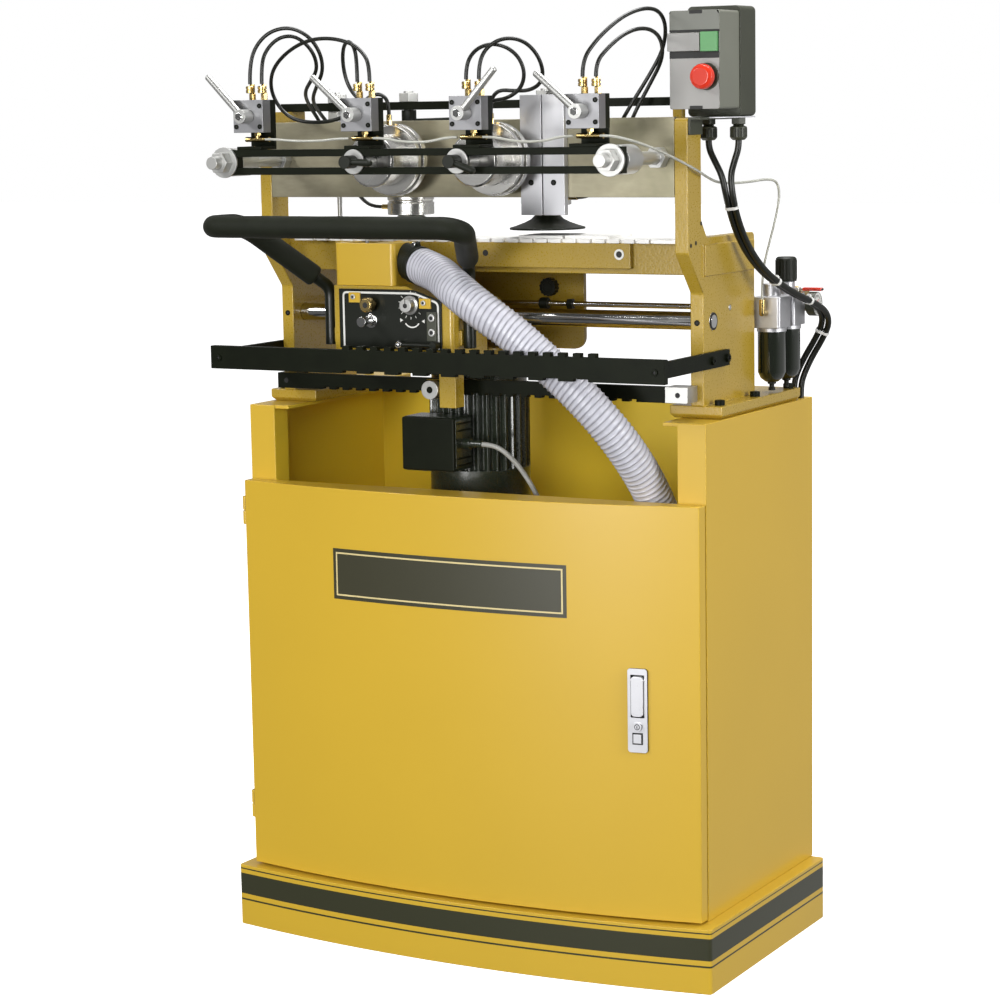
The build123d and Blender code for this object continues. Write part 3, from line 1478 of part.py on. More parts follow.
# Black air hoses from the valves to the cylinders
hose_routes = [
    [
        (stem_x[0], top_y, stem_top), (stem_x[0], top_y, stem_top + 24), (-300, -316, 1458),
        (-280, -304, 1483),
        (-250, -290, 1490), (-224, -276, 1476), (-212, -262, 1450), (-216, -248, 1422), (-238, -234, 1398),
        (-264, -208, 1378), (-279, -172, 1362), (-277, -136, 1334), (-262, -114, 1296), (-238, -102, 1273),
        (left_port - 16, down_clamp_y, left_high), (left_port, down_clamp_y, left_high),
    ],
    [
        (stem_x[1], top_y, stem_top), (stem_x[1], top_y, stem_top + 22), (-283, -314, 1450),
        (-267, -302, 1472),
        (-247, -289, 1477), (-231, -277, 1466), (-222, -263, 1446), (-226, -250, 1424), (-246, -236, 1408),
        (-276, -211, 1390), (-295, -174, 1372), (-294, -136, 1338), (-283, -120, 1290), (-264, -107, 1245),
        (-240, -100, 1213), (left_port - 18, down_clamp_y, left_low), (left_port, down_clamp_y, left_low),
    ],
    [
        (stem_x[2], top_y, stem_top), (stem_x[2], top_y, stem_top + 24), (-116, -313, 1452),
        (-136, -298, 1466),
        (-155, -284, 1459), (-166, -271, 1434), (-165, -262, 1402), (-148, -262, 1378), (-124, -267, 1370),
        (-106, front_port_y, 1367), (front_clamp_x[0], front_port_y, front_port_top + 15),
        (front_clamp_x[0], front_port_y, front_port_top),
    ],
    [
        (stem_x[3], top_y, stem_top), (stem_x[3], top_y, stem_top + 20), (-94, -319, 1442),
        (-122, -311, 1461),
        (-170, -301, 1471), (-220, -290, 1468), (-266, -279, 1450), (-303, -263, 1424), (-320, -243, 1394),
        (-314, -230, 1366), (-288, -230, 1346), (-246, -235, 1340), (-204, -238, 1343), (-174, -241, 1354),
        (-151, -242, 1369), (-135, -243, 1380), (-118, rear_port_y, 1384), (-105, rear_port_y, 1378),
        (front_clamp_x[0], rear_port_y, rear_port_top + 13), (front_clamp_x[0], rear_port_y, rear_port_top),
    ],
    [
        (stem_x[4], top_y, stem_top), (stem_x[4], top_y, stem_top + 22), (94, -312, 1446), (113, -299, 1455),
        (135, -289, 1450), (151, -278, 1434), (157, -271, 1410), (147, -266, 1387), (124, -266, 1373),
        (100, -270, 1370), (86, front_port_y, 1364), (front_clamp_x[1], front_port_y, front_port_top + 14),
        (front_clamp_x[1], front_port_y, front_port_top),
    ],
    [
        (stem_x[5], top_y, stem_top), (stem_x[5], top_y, stem_top + 24), (116, -314, 1450), (138, -301, 1463),
        (162, -287, 1459), (178, -273, 1440), (182, -259, 1414), (172, -249, 1394), (150, -245, 1384),
        (124, -244, 1384), (100, rear_port_y, 1386), (87, rear_port_y, 1379),
        (front_clamp_x[1], rear_port_y, rear_port_top + 14), (front_clamp_x[1], rear_port_y, rear_port_top),
    ],
    [
        (stem_x[6], top_y, stem_top), (stem_x[6], top_y, stem_top + 24), (294, -306, 1454), (308, -278, 1478),
        (321, -248, 1495), (333, -212, 1503), (337, -176, 1498), (332, -144, 1476), (318, -126, 1442),
        (295, -128, 1404), (270, -139, 1362), (244, -134, 1326), (212, -116, 1300),
        (right_port + 26, down_clamp_y - 3, high_port + 3), (right_port + 14, down_clamp_y, high_port),
        (right_port, down_clamp_y, high_port),
    ],
    [
        (stem_x[7], top_y, stem_top), (stem_x[7], top_y, stem_top + 20), (314, -307, 1443), (325, -280, 1462),
        (334, -248, 1472), (339, -210, 1471), (337, -172, 1457), (326, -144, 1428), (301, -142, 1388),
        (276, -149, 1342), (255, -138, 1300), (228, -121, 1262), (198, -105, 1234),
        (right_port + 18, down_clamp_y, low_port), (right_port, down_clamp_y, low_port),
    ],
]
save("air_hoses", *[cord(f"air hose {i + 1}", route, hose_radius) for i, route in enumerate(hose_routes)])

# Clear air line from tee to tee, then down to the air unit
tee_ends = [(x - tee_half, x + tee_half) for x in valve_x]
line_sag = [3.5, 7.0, 8.0]
line_pieces = []
for i, sag in enumerate(line_sag):
    x0 = tee_ends[i][1]
    x1 = tee_ends[i + 1][0]
    shares = ((0.0, 0.0), (0.12, 0.0), (0.35, 0.9), (0.65, 1.0), (0.88, 0.0), (1.0, 0.0))
    route = [(x0 + (x1 - x0) * run, tee_y, tee_z - sag * drop) for run, drop in shares]
    line_pieces.append(cord(f"air line {i + 1}", route, line_radius))
feed_route = [
    (tee_ends[3][1], tee_y, tee_z), (tee_ends[3][1] + 18, tee_y, tee_z), (352, -310, 1309), (364, -268, 1298),
    (382, -222, 1280), (393, -172, 1262), (391, -124, 1248), (385, -78, 1240), (388, -28, 1237),
    (397, 22, 1238),
    (406, 68, 1241), (410, 97, 1236), (411, 104, 1212), (407, 93, 1172), (402, 77, 1132),
    (air_x, elbow_y, elbow_top + 40),
    (air_x, elbow_y, elbow_top),
]
line_pieces.append(cord("air feed", feed_route, line_radius))
save("air_line", *line_pieces)

# Two switch cables, side by side, from the glands down into the cabinet top
cable_radius = 5.0
gland_low = switch_bottom - gland_length
first_cable = [
    (gland_x[0], gland_y, gland_low), (gland_x[0], gland_y, gland_low - 12), (379, -75, 1273),
    (393, -78, 1250),
    (398, -76, 1222), (399, -60, 1188), (401, -36, 1154), (406, -6, 1122), (414, 30, 1094), (424, 72, 1072),
    (435, 116, 1054), (442, 156, 1041), (445, 188, 1027), (443, 206, 1006), (428, 214, 980), (408, 214, 948),
    (395, 208, 918), (392, 206, deck + 18), (392, 206, deck),
]
second_cable = [
    (gland_x[1], gland_y, gland_low), (gland_x[1], gland_y, gland_low - 12), (412, -74, 1273),
    (405, -74, 1250),
    (408, -73, 1219), (409, -57, 1185), (411, -33, 1151), (416, -3, 1119), (424, 33, 1091), (434, 75, 1069),
    (445, 119, 1051), (452, 159, 1038), (455, 191, 1024), (453, 209, 1003), (438, 217, 977), (418, 217, 945),
    (406, 211, 915), (403, 209, deck + 18), (403, 209, deck),
]
save(
    "switch_cable", cord("switch cable 1", first_cable, cable_radius),
    cord("switch cable 2", second_cable, cable_radius)
)

# Motor cable from the terminal box to the back wall
motor_cable_radius = 4.0
motor_route = [
    (gland_tip, terminal_gland_y, terminal_gland_z), (gland_tip + 14, terminal_gland_y, terminal_gland_z),
    (40, -157, 823), (58, -151, 807), (74, -144, 785), (89, -137, 758), (100, -126, 724), (105, -106, 688),
    (107, -75, 652), (106, -32, 620), (103, 18, 600), (101, 76, 590), (cable_outlet_x, 146, outlet_z),
    (cable_outlet_x, cabinet_back - 3 * sheet, outlet_z),
]
save("motor_cable", cord("motor cable", motor_route, motor_cable_radius))

# Ribbed dust hose from the hood's port to the outlet in the back wall
hose_crest = 30.0
hose_root = 27.0
hose_bore = 25.0
hose_cuff = 14.0
hose_ribs = 50
port_run = 55.0
port_axis = Vector(0, 0, 1).rotate(Axis.Y, 90 + port_dip).rotate(Axis.Z, port_turn)
dust_route = [
    port_tip, tuple(Vector(*port_tip) + port_axis * port_run), (11, -253, 1088), (52, -274, 1068),
    (93, -281, 1044),
    (128, -275, 1020), (181, -263, 973), (230, -252, 927), (271, -234, 877), (296, -201, 824),
    (309, -160, 767),
    (318, -126, 703), (322, -90, 650), (319, -46, 614), (314, 12, 594), (outlet_x, 100, outlet_z),
    (outlet_x, cabinet_back - sheet, outlet_z),
]
dust_radii = corner_radii(dust_route)
dust_path = FilletPolyline(*dust_route, radius=dust_radii)
dust_length = dust_path.length
print(f"dust hose: length {dust_length:.0f}, least radius {min(dust_radii):.1f}")
rib_step = (dust_length - 2 * hose_cuff) / hose_ribs
stations = [(0.0, hose_root)]
for i in range(hose_ribs):
    for share, radius in ((0.1, hose_root), (0.35, hose_crest), (0.65, hose_crest), (0.9, hose_root)):
        stations.append((hose_cuff + (i + share) * rib_step, radius))
stations.append((dust_length, hose_root))
steady = Vector(0.6, 0.2, 0.75)


# A circle across the path at a share of its length, with the same side up all along
def across(path, run, radius):
    step = 0.0002
    along = (path @ min(run + step, 1) - path @ max(run - step, 0)).normalized()
    side = steady - along * steady.dot(along)
    return Plane(path @ run, x_dir=side, z_dir=along) * Circle(radius)


rib_faces = [across(dust_path, run / dust_length, radius) for run, radius in stations]
dust_hose = loft(rib_faces, ruled=True)
bore_steps = 40
dust_bore = loft([across(dust_path, i / bore_steps, hose_bore) for i in range(bore_steps + 1)], ruled=True)
bore_share = dust_bore.volume / (math.pi * hose_bore**2 * dust_length)
print(f"dust hose: bore volume share {bore_share:.4f}")
dust_hose -= dust_bore
save("dust_hose", dust_hose)
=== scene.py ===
import bmesh
import bpy
import json
import math
from mathutils import Matrix, Vector

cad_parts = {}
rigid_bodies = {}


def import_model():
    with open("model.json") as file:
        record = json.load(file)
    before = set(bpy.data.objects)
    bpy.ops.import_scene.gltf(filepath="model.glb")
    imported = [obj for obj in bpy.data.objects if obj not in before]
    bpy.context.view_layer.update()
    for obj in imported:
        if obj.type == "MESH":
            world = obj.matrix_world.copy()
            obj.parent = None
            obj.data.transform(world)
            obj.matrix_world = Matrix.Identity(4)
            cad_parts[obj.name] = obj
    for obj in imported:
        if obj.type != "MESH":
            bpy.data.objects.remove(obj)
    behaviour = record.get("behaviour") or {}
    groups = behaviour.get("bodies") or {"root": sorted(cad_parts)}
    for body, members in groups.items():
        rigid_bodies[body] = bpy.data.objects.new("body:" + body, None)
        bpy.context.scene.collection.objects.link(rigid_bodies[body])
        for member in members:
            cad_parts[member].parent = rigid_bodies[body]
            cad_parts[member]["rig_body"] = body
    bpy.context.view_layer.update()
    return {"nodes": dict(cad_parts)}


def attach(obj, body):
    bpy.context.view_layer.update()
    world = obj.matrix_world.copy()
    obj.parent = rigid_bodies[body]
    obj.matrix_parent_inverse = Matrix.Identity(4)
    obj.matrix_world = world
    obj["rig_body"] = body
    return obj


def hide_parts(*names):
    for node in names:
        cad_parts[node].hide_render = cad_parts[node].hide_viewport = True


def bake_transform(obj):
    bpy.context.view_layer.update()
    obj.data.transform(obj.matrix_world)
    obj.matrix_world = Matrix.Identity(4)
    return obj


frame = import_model()
nodes = frame["nodes"]
scene = bpy.context.scene
mm = 0.001
upward, down, front, left, right = (0, 0, 1), (0, 0, -1), (0, -1, 0), (-1, 0, 0), (1, 0, 0)
white = (1, 1, 1, 1)
print("frame loaded:", len(nodes), "nodes")


# helpers that every section uses
def addObject(name, data):
    thing = bpy.data.objects.new(name, data)
    scene.collection.objects.link(thing)
    return thing


def asMesh(bm, name="fitting"):
    mesh = bpy.data.meshes.new(name)
    bm.to_mesh(mesh)
    bm.free()
    return mesh


def linkNode(tree, kind, inputs=None, **settings):
    node = tree.nodes.new(kind)
    for key, value in settings.items():
        setattr(node, key, value)
    for key, value in (inputs or {}).items():
        if isinstance(value, bpy.types.NodeSocket):
            tree.links.new(value, node.inputs[key])
        else:
            node.inputs[key].default_value = value
    return node


def spread(tree, source, low, high, span=(0.25, 0.75)):
    inputs = {"Value": source, "From Min": span[0], "From Max": span[1], "To Min": low, "To Max": high}
    return linkNode(tree, "ShaderNodeMapRange", inputs).outputs["Result"]


# camera at the photograph's angle
cameraView = {
    "place": (2121.3, -3923.2, 1361.0), "turn": 28.947, "dip": 8.213, "roll": -0.991,
    "lens": 98.15, "sensor": 36, "reach": 60,
}


def addCamera(view):
    turn, dip, roll = (math.radians(view[key]) for key in ("turn", "dip", "roll"))
    back = Vector((math.sin(turn) * math.cos(dip), -math.cos(turn) * math.cos(dip), math.sin(dip)))
    across = (-back).cross(Vector(upward)).normalized()
    up = across.cross(-back)
    rolledAcross = across * math.cos(roll) + up * math.sin(roll)
    rolledUp = up * math.cos(roll) - across * math.sin(roll)
    data = bpy.data.cameras.new("camera")
    data.lens = view["lens"]
    data.sensor_width = view["sensor"]
    data.clip_end = view["reach"]
    camera = addObject("camera", data)
    turnMatrix = Matrix((rolledAcross, rolledUp, back)).transposed()
    camera.matrix_world = Matrix.Translation(Vector(view["place"]) * mm) @ turnMatrix.to_4x4()
    scene.camera = camera


addCamera(cameraView)

# studio, in metres: pale floor, soft boxes, and a surround that only the camera sees as white
studio = {
    "floorSize": 60.0, "floorDrop": 0.0005, "floorColour": (0.94, 0.94, 0.93, 1), "floorRough": 0.7,
    "floorGlow": 0.95, "room": (0.10, 0.42), "roomSpan": (-0.55, 0.25), "aim": (0, -0.1, 0.85),
    "boxes": [
        {"name": "keyLight", "place": (1.2, -4.6, 1.9), "size": (2.0, 2.0), "power": 108},
        {"name": "fillLight", "place": (-0.55, -4.5, 0.75), "size": (1.0, 1.0), "power": 80},
        {"name": "leftLight", "place": (-2.5, -3.4, 3.0), "size": (0.9, 0.9), "power": 68},
        {"name": "sideLight", "place": (4.6, -0.5, 1.8), "size": (1.6, 2.4), "power": 132},
        {"name": "topLight", "place": (0.2, 0.6, 4.2), "size": (2.2, 2.2), "power": 170},
    ],
}


def addFloor(look):
    bm = bmesh.new()
    bmesh.ops.create_grid(bm, x_segments=1, y_segments=1, size=look["floorSize"] / 2)
    bmesh.ops.translate(bm, vec=(0, 0, -look["floorDrop"]), verts=bm.verts)
    floor = addObject("floor", asMesh(bm, "floor"))
    material = bpy.data.materials.new("paleFloor")
    material.use_nodes = True
    shader = material.node_tree.nodes["Principled BSDF"]
    shader.inputs["Base Color"].default_value = look["floorColour"]
    shader.inputs["Roughness"].default_value = look["floorRough"]
    shader.inputs["Emission Color"].default_value = white
    shader.inputs["Emission Strength"].default_value = look["floorGlow"]
    floor.data.materials.append(material)
    floor.visible_glossy = False
    floor.visible_diffuse = False


def addLights(look):
    for box in look["boxes"]:
        data = bpy.data.lights.new(box["name"], "AREA")
        data.shape = "RECTANGLE"
        data.size, data.size_y = box["size"]
        data.energy = box["power"]
        light = addObject(box["name"], data)
        light.location = box["place"]
        aimed = Vector(look["aim"]) - Vector(box["place"])
        light.rotation_euler = aimed.to_track_quat("-Z", "Y").to_euler()


def addSurround(look):
    scene.world = bpy.data.worlds.new("surround")
    scene.world.use_nodes = True
    tree = scene.world.node_tree
    coords = linkNode(tree, "ShaderNodeTexCoord").outputs["Generated"]
    depth = linkNode(tree, "ShaderNodeSeparateXYZ", {0: coords}).outputs["Y"]
    room = spread(tree, depth, *look["room"], look["roomSpan"])
    seen = linkNode(tree, "ShaderNodeLightPath").outputs["Is Camera Ray"]
    strength = linkNode(tree, "ShaderNodeMix", {"Factor": seen, "A": room, "B": 1.0}).outputs["Result"]
    tree.links.new(strength, tree.nodes["Background"].inputs["Strength"])
    tree.nodes["Background"].inputs["Color"].default_value = white
    scene.view_settings.view_transform = "Standard"


addFloor(studio)
addLights(studio)
addSurround(studio)
print("camera and studio set")

# finishes: grain gives bump, shade gives slow colour changes, gloss follows shade on metals, else grain
plainLook = {
    "stretch": (1, 1, 1), "cells": False, "cellSoftness": 0.6, "grainDetail": 3.0, "depth": 0.0004,
    "grainTint": 0.0, "tintDark": 0.45, "shade": 6.0, "shadeDetail": 4.0, "shadeDepth": 0.12, "deep": None,
    "bands": None, "ridge": None, "roughSwing": 0.03, "metal": 0.0, "coat": 0.0, "coatRough": 0.08,
    "specular": 0.5, "clear": 0.0, "sheen": 0.0,
}
mostlyMetal = 0.5
plainInputs = {
    "Metallic": "metal", "Coat Weight": "coat", "Coat Roughness": "coatRough",
    "Specular IOR Level": "specular", "Transmission Weight": "clear", "Sheen Weight": "sheen",
}


def mixColours(tree, share, first, second):
    inputs = {0: share, 6: first, 7: second}
    return linkNode(tree, "ShaderNodeMix", inputs, data_type="RGBA").outputs[2]


def bandMask(tree, coords, bands, top):
    # painted bands by height: the ramp is white inside a band
    height = linkNode(tree, "ShaderNodeSeparateXYZ", {0: coords}).outputs["Z"]
    share = linkNode(tree, "ShaderNodeMath", {0: height, 1: top * mm}, operation="DIVIDE").outputs[0]
    node = linkNode(tree, "ShaderNodeValToRGB", {0: share})
    ramp = node.color_ramp
    ramp.interpolation = "CONSTANT"
    bare = (0, 0, 0, 1)
    ramp.elements[0].color = bare
    ramp.elements.remove(ramp.elements[1])
    for low, high in bands:
        ramp.elements.new(low / top).color = white
        ramp.elements.new(high / top).color = bare
    return node.outputs[0]


def grainHeight(tree, coords, look):
    mapping = linkNode(tree, "ShaderNodeMapping", {"Vector": coords, "Scale": look["stretch"]})
    inputs = {"Vector": mapping.outputs["Vector"], "Scale": look["grain"]}
    if look["cells"]:
        inputs["Smoothness"] = look["cellSoftness"]
        return linkNode(tree, "ShaderNodeTexVoronoi", inputs, feature="SMOOTH_F1").outputs["Distance"]
    inputs["Detail"] = look["grainDetail"]
    return linkNode(tree, "ShaderNodeTexNoise", inputs).outputs[0]


def makeFinish(name, ownLook):
    look = {**plainLook, **ownLook}
    material = bpy.data.materials.new(name)
    material.use_nodes = True
    tree = material.node_tree
    shader = tree.nodes["Principled BSDF"]
    coords = linkNode(tree, "ShaderNodeTexCoord").outputs["Object"]
    height = grainHeight(tree, coords, look)
    shadeInputs = {"Vector": coords, "Scale": look["shade"], "Detail": look["shadeDetail"]}
    shade = linkNode(tree, "ShaderNodeTexNoise", shadeInputs).outputs[0]
    colour = Vector(look["colour"])
    deep = Vector(look["deep"]) if look["deep"] else colour * (1 - look["shadeDepth"])
    tone = mixColours(tree, spread(tree, shade, 0.0, 1.0), (*colour, 1), (*deep, 1))
    if look["grainTint"]:
        tintInputs = {0: spread(tree, height, 0.0, 1.0), 1: look["grainTint"]}
        tint = linkNode(tree, "ShaderNodeMath", tintInputs, operation="MULTIPLY").outputs[0]
        tone = mixColours(tree, tint, tone, (*(colour * look["tintDark"]), 1))
    if look["bands"]:
        mask = bandMask(tree, coords, look["bands"], look["bandTop"])
        tone = mixColours(tree, mask, tone, (*look["bandColour"], 1))
    if look["ridge"]:
        lift = linkNode(tree, "ShaderNodeAttribute", attribute_name="ridge").outputs["Fac"]
        tone = mixColours(tree, lift, tone, (*look["ridge"], 1))
    tree.links.new(tone, shader.inputs["Base Color"])
    rough, swing = look["rough"], look["roughSwing"]
    wear = shade if look["metal"] > mostlyMetal else height
    tree.links.new(spread(tree, wear, rough - swing, rough + swing), shader.inputs["Roughness"])
    bumpInputs = {"Height": height, "Strength": look["bump"], "Distance": look["depth"]}
    bump = linkNode(tree, "ShaderNodeBump", bumpInputs)
    tree.links.new(bump.outputs["Normal"], shader.inputs["Normal"])
    for socket, key in plainInputs.items():
        shader.inputs[socket].default_value = look[key]
    return material


gold = (0.60, 0.385, 0.032)
black = (0.007, 0.009, 0.004)
fine = 0.00001
thin = 0.0001
enamel = {
    "colour": gold, "grain": 900, "bump": 0.04, "rough": 0.36, "shade": 2.5, "shadeDepth": 0.06, "coat": 0.2,
    "specular": 0.4,
}
hammered = {"grain": 260, "cells": True, "bump": 0.22, "depth": 0.0006, "rough": 0.30, "coat": 0.3}
metal = {"grain": 240, "bump": 0.06, "depth": fine, "metal": 1.0, "shade": 20}
darkEnamel = {"grain": 700, "depth": fine, "shade": 18, "shadeDepth": 0.3}
plastic = {"grain": 1400, "bump": 0.12, "depth": thin, "rough": 0.42, "shade": 12}
buttonPlastic = {"grain": 1200, "bump": 0.04, "depth": thin, "shade": 30}
paintFilm = {"grain": 900, "bump": 0.04, "depth": thin, "shade": 30}
sheath = {"grain": 900, "bump": 0.05, "depth": thin, "shade": 40}
glassy = {"grain": 800, "bump": 0.03, "shade": 20}
finishLooks = {
    "glossEnamel": enamel,
    "bandedEnamel": {
        **enamel, "bands": [(42.2, 45.3), (53.6, 88.6), (95.8, 97.9)], "bandTop": 110.0,
        "bandColour": (0.034, 0.035, 0.017)},
    # painted light: a lighter, greener copy of the gold enamel for the cabinet's inside, standing for light
    # falling in there
    "litInnerEnamel": {**enamel, "colour": (0.70, 0.50, 0.030), "rough": 0.42, "coat": 0.0, "specular": 0.3},
    "hammeredEnamel": {**hammered, "colour": (0.43, 0.285, 0.028)},
    "tableEnamel": {**hammered, "colour": (0.34, 0.225, 0.020)},
    "scaleSteel": {
        **metal, "colour": (0.46, 0.42, 0.30), "deep": (0.13, 0.125, 0.070), "grain": 160,
        "stretch": (0.25, 1, 1), "bump": 0.2, "rough": 0.40, "metal": 0.7, "shade": 9, "roughSwing": 0.12,
        "grainTint": 0.35},
    "groundTop": {
        **metal, "colour": (0.90, 0.89, 0.86), "grain": 130, "stretch": (0.06, 1, 3), "bump": 0.12,
        "rough": 0.36, "metal": 0.1, "shade": 16, "shadeDepth": 0.2, "roughSwing": 0.08},
    "satinSteel": {**metal, "colour": (0.54, 0.54, 0.52), "grain": 300, "rough": 0.36, "metal": 0.8},
    "satinZinc": {
        **metal, "colour": (0.66, 0.66, 0.69), "grain": 400, "bump": 0.04, "rough": 0.30, "metal": 0.2,
        "coat": 0.3},
    "brightSteel": {**metal, "colour": (0.50, 0.50, 0.48), "stretch": (1, 0.1, 1), "rough": 0.40},
    "plateSteel": {**metal, "colour": (0.30, 0.30, 0.31), "rough": 0.42, "metal": 0.9},
    "chromePlate": {
        **metal, "colour": (0.80, 0.80, 0.79), "grain": 400, "bump": 0.03, "rough": 0.14, "shade": 30},
    "turnedAluminium": {
        **metal, "colour": (0.68, 0.67, 0.64), "grain": 500, "stretch": (0.2, 1, 1), "bump": 0.08,
        "rough": 0.26, "shade": 14, "shadeDepth": 0.18},
    "brushedAluminium": {
        **metal, "colour": (0.58, 0.58, 0.60), "grain": 420, "stretch": (1, 1, 0.04), "bump": 0.1,
        "rough": 0.38, "metal": 0.8, "shade": 12},
    "blackOxide": {
        **metal, "colour": black, "grain": 500, "bump": 0.12, "rough": 0.44, "metal": 0.1, "shade": 25,
        "shadeDepth": 0.35, "roughSwing": 0.1, "specular": 0.10},
    "blackEnamel": {
        **darkEnamel, "colour": (0.005, 0.007, 0.003), "bump": 0.08, "rough": 0.36, "coat": 0.1,
        "specular": 0.3},
    "motorEnamel": {**darkEnamel, "colour": (0.020, 0.026, 0.016), "bump": 0.05, "rough": 0.28, "coat": 0.3},
    "turnedBrass": {
        **metal, "colour": (0.66, 0.49, 0.20), "grain": 600, "rough": 0.24, "shade": 40, "shadeDepth": 0.2},
    "greyPlastic": {**plastic, "colour": (0.33, 0.325, 0.31)},
    "midPlastic": {**plastic, "colour": (0.17, 0.175, 0.15)},
    "sidePlastic": {**plastic, "colour": (0.17, 0.175, 0.14)},
    "darkPlastic": {
        **plastic, "colour": (0.042, 0.046, 0.028), "grain": 1300, "rough": 0.45, "shade": 14,
        "shadeDepth": 0.2},
    "greenPlastic": {**buttonPlastic, "colour": (0.11, 0.33, 0.12), "bump": 0.05, "rough": 0.34},
    "redPlastic": {**buttonPlastic, "colour": (0.70, 0.035, 0.012), "rough": 0.24, "coat": 0.4},
    "smokedPlastic": {**glassy, "colour": (0.011, 0.015, 0.009), "depth": fine, "rough": 0.12, "coat": 1.0},
    "clearPlastic": {**glassy, "colour": (0.52, 0.52, 0.46), "depth": thin, "rough": 0.2, "clear": 0.25},
    "moulded": {
        **plastic, "colour": (0.009, 0.011, 0.006), "grain": 1100, "bump": 0.15, "rough": 0.46, "shade": 20,
        "shadeDepth": 0.25, "specular": 0.28},
    "hoseRubber": {**sheath, "colour": (0.007, 0.008, 0.005), "rough": 0.36, "shadeDepth": 0.25},
    "greySheath": {**sheath, "colour": (0.32, 0.32, 0.30), "rough": 0.4},
    "foamRubber": {
        "colour": (0.009, 0.011, 0.005), "grain": 1500, "cells": True, "bump": 0.35, "depth": 0.0003,
        "rough": 0.62, "shade": 30, "shadeDepth": 0.3, "sheen": 0.02, "specular": 0.18},
    "hosePlastic": {
        **sheath, "colour": (0.56, 0.56, 0.62), "grain": 300, "rough": 0.34, "shade": 12, "shadeDepth": 0.08,
        "coat": 0.1, "ridge": (0.24, 0.24, 0.27)},
    "whitePaint": {**paintFilm, "colour": (0.76, 0.76, 0.72), "rough": 0.40},
    "nylonWhite": {**paintFilm, "colour": (0.80, 0.80, 0.78), "rough": 0.35},
    "deepBlack": {**paintFilm, "colour": (0.005, 0.005, 0.004), "bump": 0.05, "rough": 0.6},
    "panelInk": {
        **paintFilm, "colour": (0.040, 0.038, 0.018), "bump": 0.03, "rough": 0.42, "shade": 8,
        "shadeDepth": 0.15},
    "creamPaint": {**paintFilm, "colour": (0.70, 0.58, 0.28), "bump": 0.03, "rough": 0.42, "shade": 8},
}
finishes = {name: makeFinish(name, look) for name, look in finishLooks.items()}
print("finishes:", len(finishes))

# a node's merged copy with rounded edges stands for it
rounding = {"joinGap": 0.02, "flatAngle": 0.6, "sharpAngle": 32, "segments": 2}


def smoothShade(mesh):
    mesh.shade_smooth()
    mesh.set_sharp_from_angle(angle=math.radians(rounding["sharpAngle"]))


def roundedCopy(node, finish, width, merge=True):
    bm = bmesh.new()
    bm.from_mesh(nodes[node].data)
    bmesh.ops.remove_doubles(bm, verts=bm.verts, dist=rounding["joinGap"] * mm)
    if merge:
        flat = math.radians(rounding["flatAngle"])
        bmesh.ops.dissolve_limit(bm, angle_limit=flat, verts=bm.verts, edges=bm.edges)
    mesh = asMesh(bm, node + "Made")
    for name in ("custom_normal", "sharp_face", "sharp_edge"):
        if name in mesh.attributes:
            mesh.attributes.remove(mesh.attributes[name])
    mesh.materials.append(finishes[finish])
    smoothShade(mesh)
    piece = addObject(node + "Made", mesh)
    bevel = piece.modifiers.new("roundEdges", "BEVEL")
    bevel.width = width * mm
    bevel.segments = rounding["segments"]
    bevel.limit_method = "ANGLE"
    bevel.angle_limit = math.radians(rounding["sharpAngle"])
    bevel.use_clamp_overlap = False
    bevel.harden_normals = True
    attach(piece, nodes[node]["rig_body"])
    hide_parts(node)
    return piece


nodeFinish = {
    "plinth": ("bandedEnamel", 1.2), "cabinet": ("glossEnamel", 1.2), "door": ("glossEnamel", 1.3),
    "uprights": ("hammeredEnamel", 1.6), "table": ("tableEnamel", 1.6), "table_panels": ("tableEnamel", 1.2),
    "table_plate": ("groundTop", 0.6), "fence_plate": ("scaleSteel", 0.8), "guide_rods": ("chromePlate", 0.8),
    "template_bar": ("blackOxide", 0.6), "lower_template": ("blackOxide", 0.6),
    "clamp_bar": ("blackOxide", 0.8), "clamp_hardware": ("satinSteel", 0.7),
    "clamp_cylinders": ("turnedAluminium", 0.6), "front_piston_left": ("brightSteel", 0.5),
    "front_piston_right": ("brightSteel", 0.5), "clamp_foot_left": ("brightSteel", 0.6),
    "clamp_foot_right": ("moulded", 0.6), "top_rail": ("blackOxide", 0.8),
    "side_fence": ("brushedAluminium", 0.6), "valve_bodies": ("blackOxide", 0.6),
    **{f"valve_lever_{number}": ("satinSteel", 0.5) for number in (1, 2, 3, 4)},
    "ratchet_lever_left": ("moulded", 0.6), "ratchet_lever_right": ("moulded", 0.6),
    "rail_lever": ("moulded", 0.6), "brass_fittings": ("turnedBrass", 0.4),
    "switch_base": ("darkPlastic", 1.0), "switch_cover": ("greyPlastic", 0.8, False),
    "start_button": ("greenPlastic", 0.8), "stop_button": ("redPlastic", 0.8),
    "air_unit": ("brushedAluminium", 1.0), "air_bowls": ("smokedPlastic", 0.6),
    "regulator_knob": ("moulded", 0.6), "pressure_gauge": ("darkPlastic", 0.3),
    "shutoff_valve": ("turnedBrass", 0.6), "shutoff_lever": ("brightSteel", 0.5),
    "latch_housing": ("satinZinc", 0.5), "latch_handle": ("satinZinc", 0.9),
    "bushings": ("turnedBrass", 0.5), "carriage": ("hammeredEnamel", 1.4),
    "belt_panel": ("blackEnamel", 0.5), "hood": ("glossEnamel", 0.8), "handle_tube": ("blackEnamel", 0.6),
    "motor": ("motorEnamel", 0.8), "belt": ("moulded", 0.3), "spindle": ("brightSteel", 0.4),
    "motor_pulley": ("brightSteel", 0.5), "follower_roller": ("satinSteel", 0.8),
    "index_knob": ("satinSteel", 0.4), "lock_lever": ("moulded", 0.6),
}
made = {node: roundedCopy(node, *look) for node, look in nodeFinish.items()}
print("rounded copies:", len(made))

